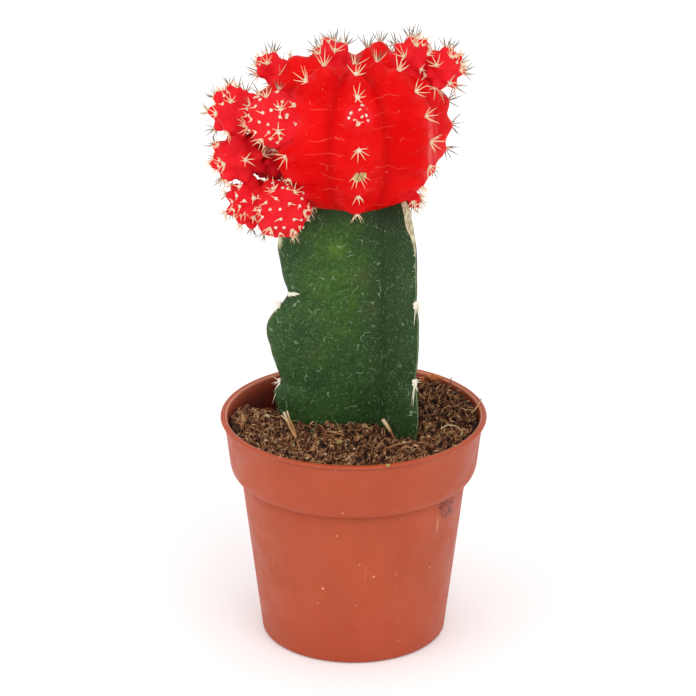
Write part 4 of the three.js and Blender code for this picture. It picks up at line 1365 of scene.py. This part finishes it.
# ---- Everything in its place ----
pot = make_pot()
soil = make_soil()
crumbs, fibres, lumps = make_crumbs(), make_fibres(), make_lumps()
stock = make_stock()
scion = make_scion()
wool, straw = felt(), dry_straw()
scion_areoles, scion_spines = make_spines(wool)
stock_areoles, stock_spines = make_stock_spines(wool)
straw_left, straw_right = make_straws(straw)
litter, blade, bud = make_litter(straw), make_blade(), make_dry_bud()

# Each piece, the node that it replaces and its slot.
PLACES = [
    (pot, "pot", "pot"), (soil, "soil", "soil"), (crumbs, "soil", "soil"), (fibres, "soil", "soil"),
    (lumps, "soil", "soil"), (litter, "soil", "soil"), (blade, "soil", "soil"),
    (stock, "rootstock", "rootstock"), (stock_areoles, "rootstock", "rootstock"),
    (stock_spines, "rootstock", "rootstock"),
    (scion, "scion", "scion"), (scion_areoles, "scion", "scion"), (scion_spines, "scion", "scion"),
    (bud, "scion", "scion"),
    (straw_left, "straw_left", "straw"), (straw_right, "straw_right", "straw"),
]
for piece, node, slot in PLACES:
    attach(piece, "root")
    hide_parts(node)


# ---- Floor, light and camera ----
def make_floor():
    finish = Finish("studio_floor")
    finish.colour(finish.mix(finish.group(MOTTLE, Scale=4.0), (0.93, 0.93, 0.93), (0.95, 0.95, 0.95)))
    # The faint glow keeps the floor white beside the pot.
    finish.hold({
        "Roughness": 0.9, "Specular IOR Level": 0.0,
        "Emission Color": (1, 1, 1, 1), "Emission Strength": 0.07,
    })
    reach, level = 4000.0, -0.05
    corners = np.array([(x * reach, y * reach, level) for x, y in ((-1, -1), (1, -1), (1, 1), (-1, 1))])
    return make_piece("floor", (corners, np.array([[0, 1, 2], [0, 2, 3]])), finish.material)


make_floor()


def add_light(name, place, target, size, power):
    """A round soft lamp, in metres and watts, turned to its target."""
    data = bpy.data.lights.new(name, "AREA")
    data.shape = "DISK"
    data.size, data.energy = size, power
    lamp = bpy.data.objects.new(name, data)
    bpy.context.scene.collection.objects.link(lamp)
    lamp.location = place
    lamp.rotation_euler = (Vector(target) - Vector(place)).to_track_quat("-Z", "Y").to_euler()


def light_studio():
    world = bpy.data.worlds.new("studio")
    world.use_nodes = True
    sky = world.node_tree.nodes["Background"].inputs
    sky["Color"].default_value, sky["Strength"].default_value = (1, 1, 1, 1), 1.0
    bpy.context.scene.world = world
    plant_middle = (0, 0, 0.07)
    add_light("key", (0.35, -0.75, 0.95), plant_middle, 0.9, 3.0)
    add_light("fill", (-0.7, -0.5, 0.6), plant_middle, 0.9, 1.5)


def set_camera(place, tilt, lens):
    """A camera in front, tilted by so many degrees from straight down, with its lens in millimetres."""
    data = bpy.data.cameras.new("camera")
    data.sensor_width, data.lens = 36, lens
    camera = bpy.data.objects.new("camera", data)
    bpy.context.scene.collection.objects.link(camera)
    camera.location = place
    camera.rotation_euler = (math.radians(tilt), 0, 0)
    bpy.context.scene.camera = camera


light_studio()
set_camera((-0.00116, -0.700, 0.3507), 67.64, 190.86)
bpy.context.scene.view_settings.view_transform = "Standard"
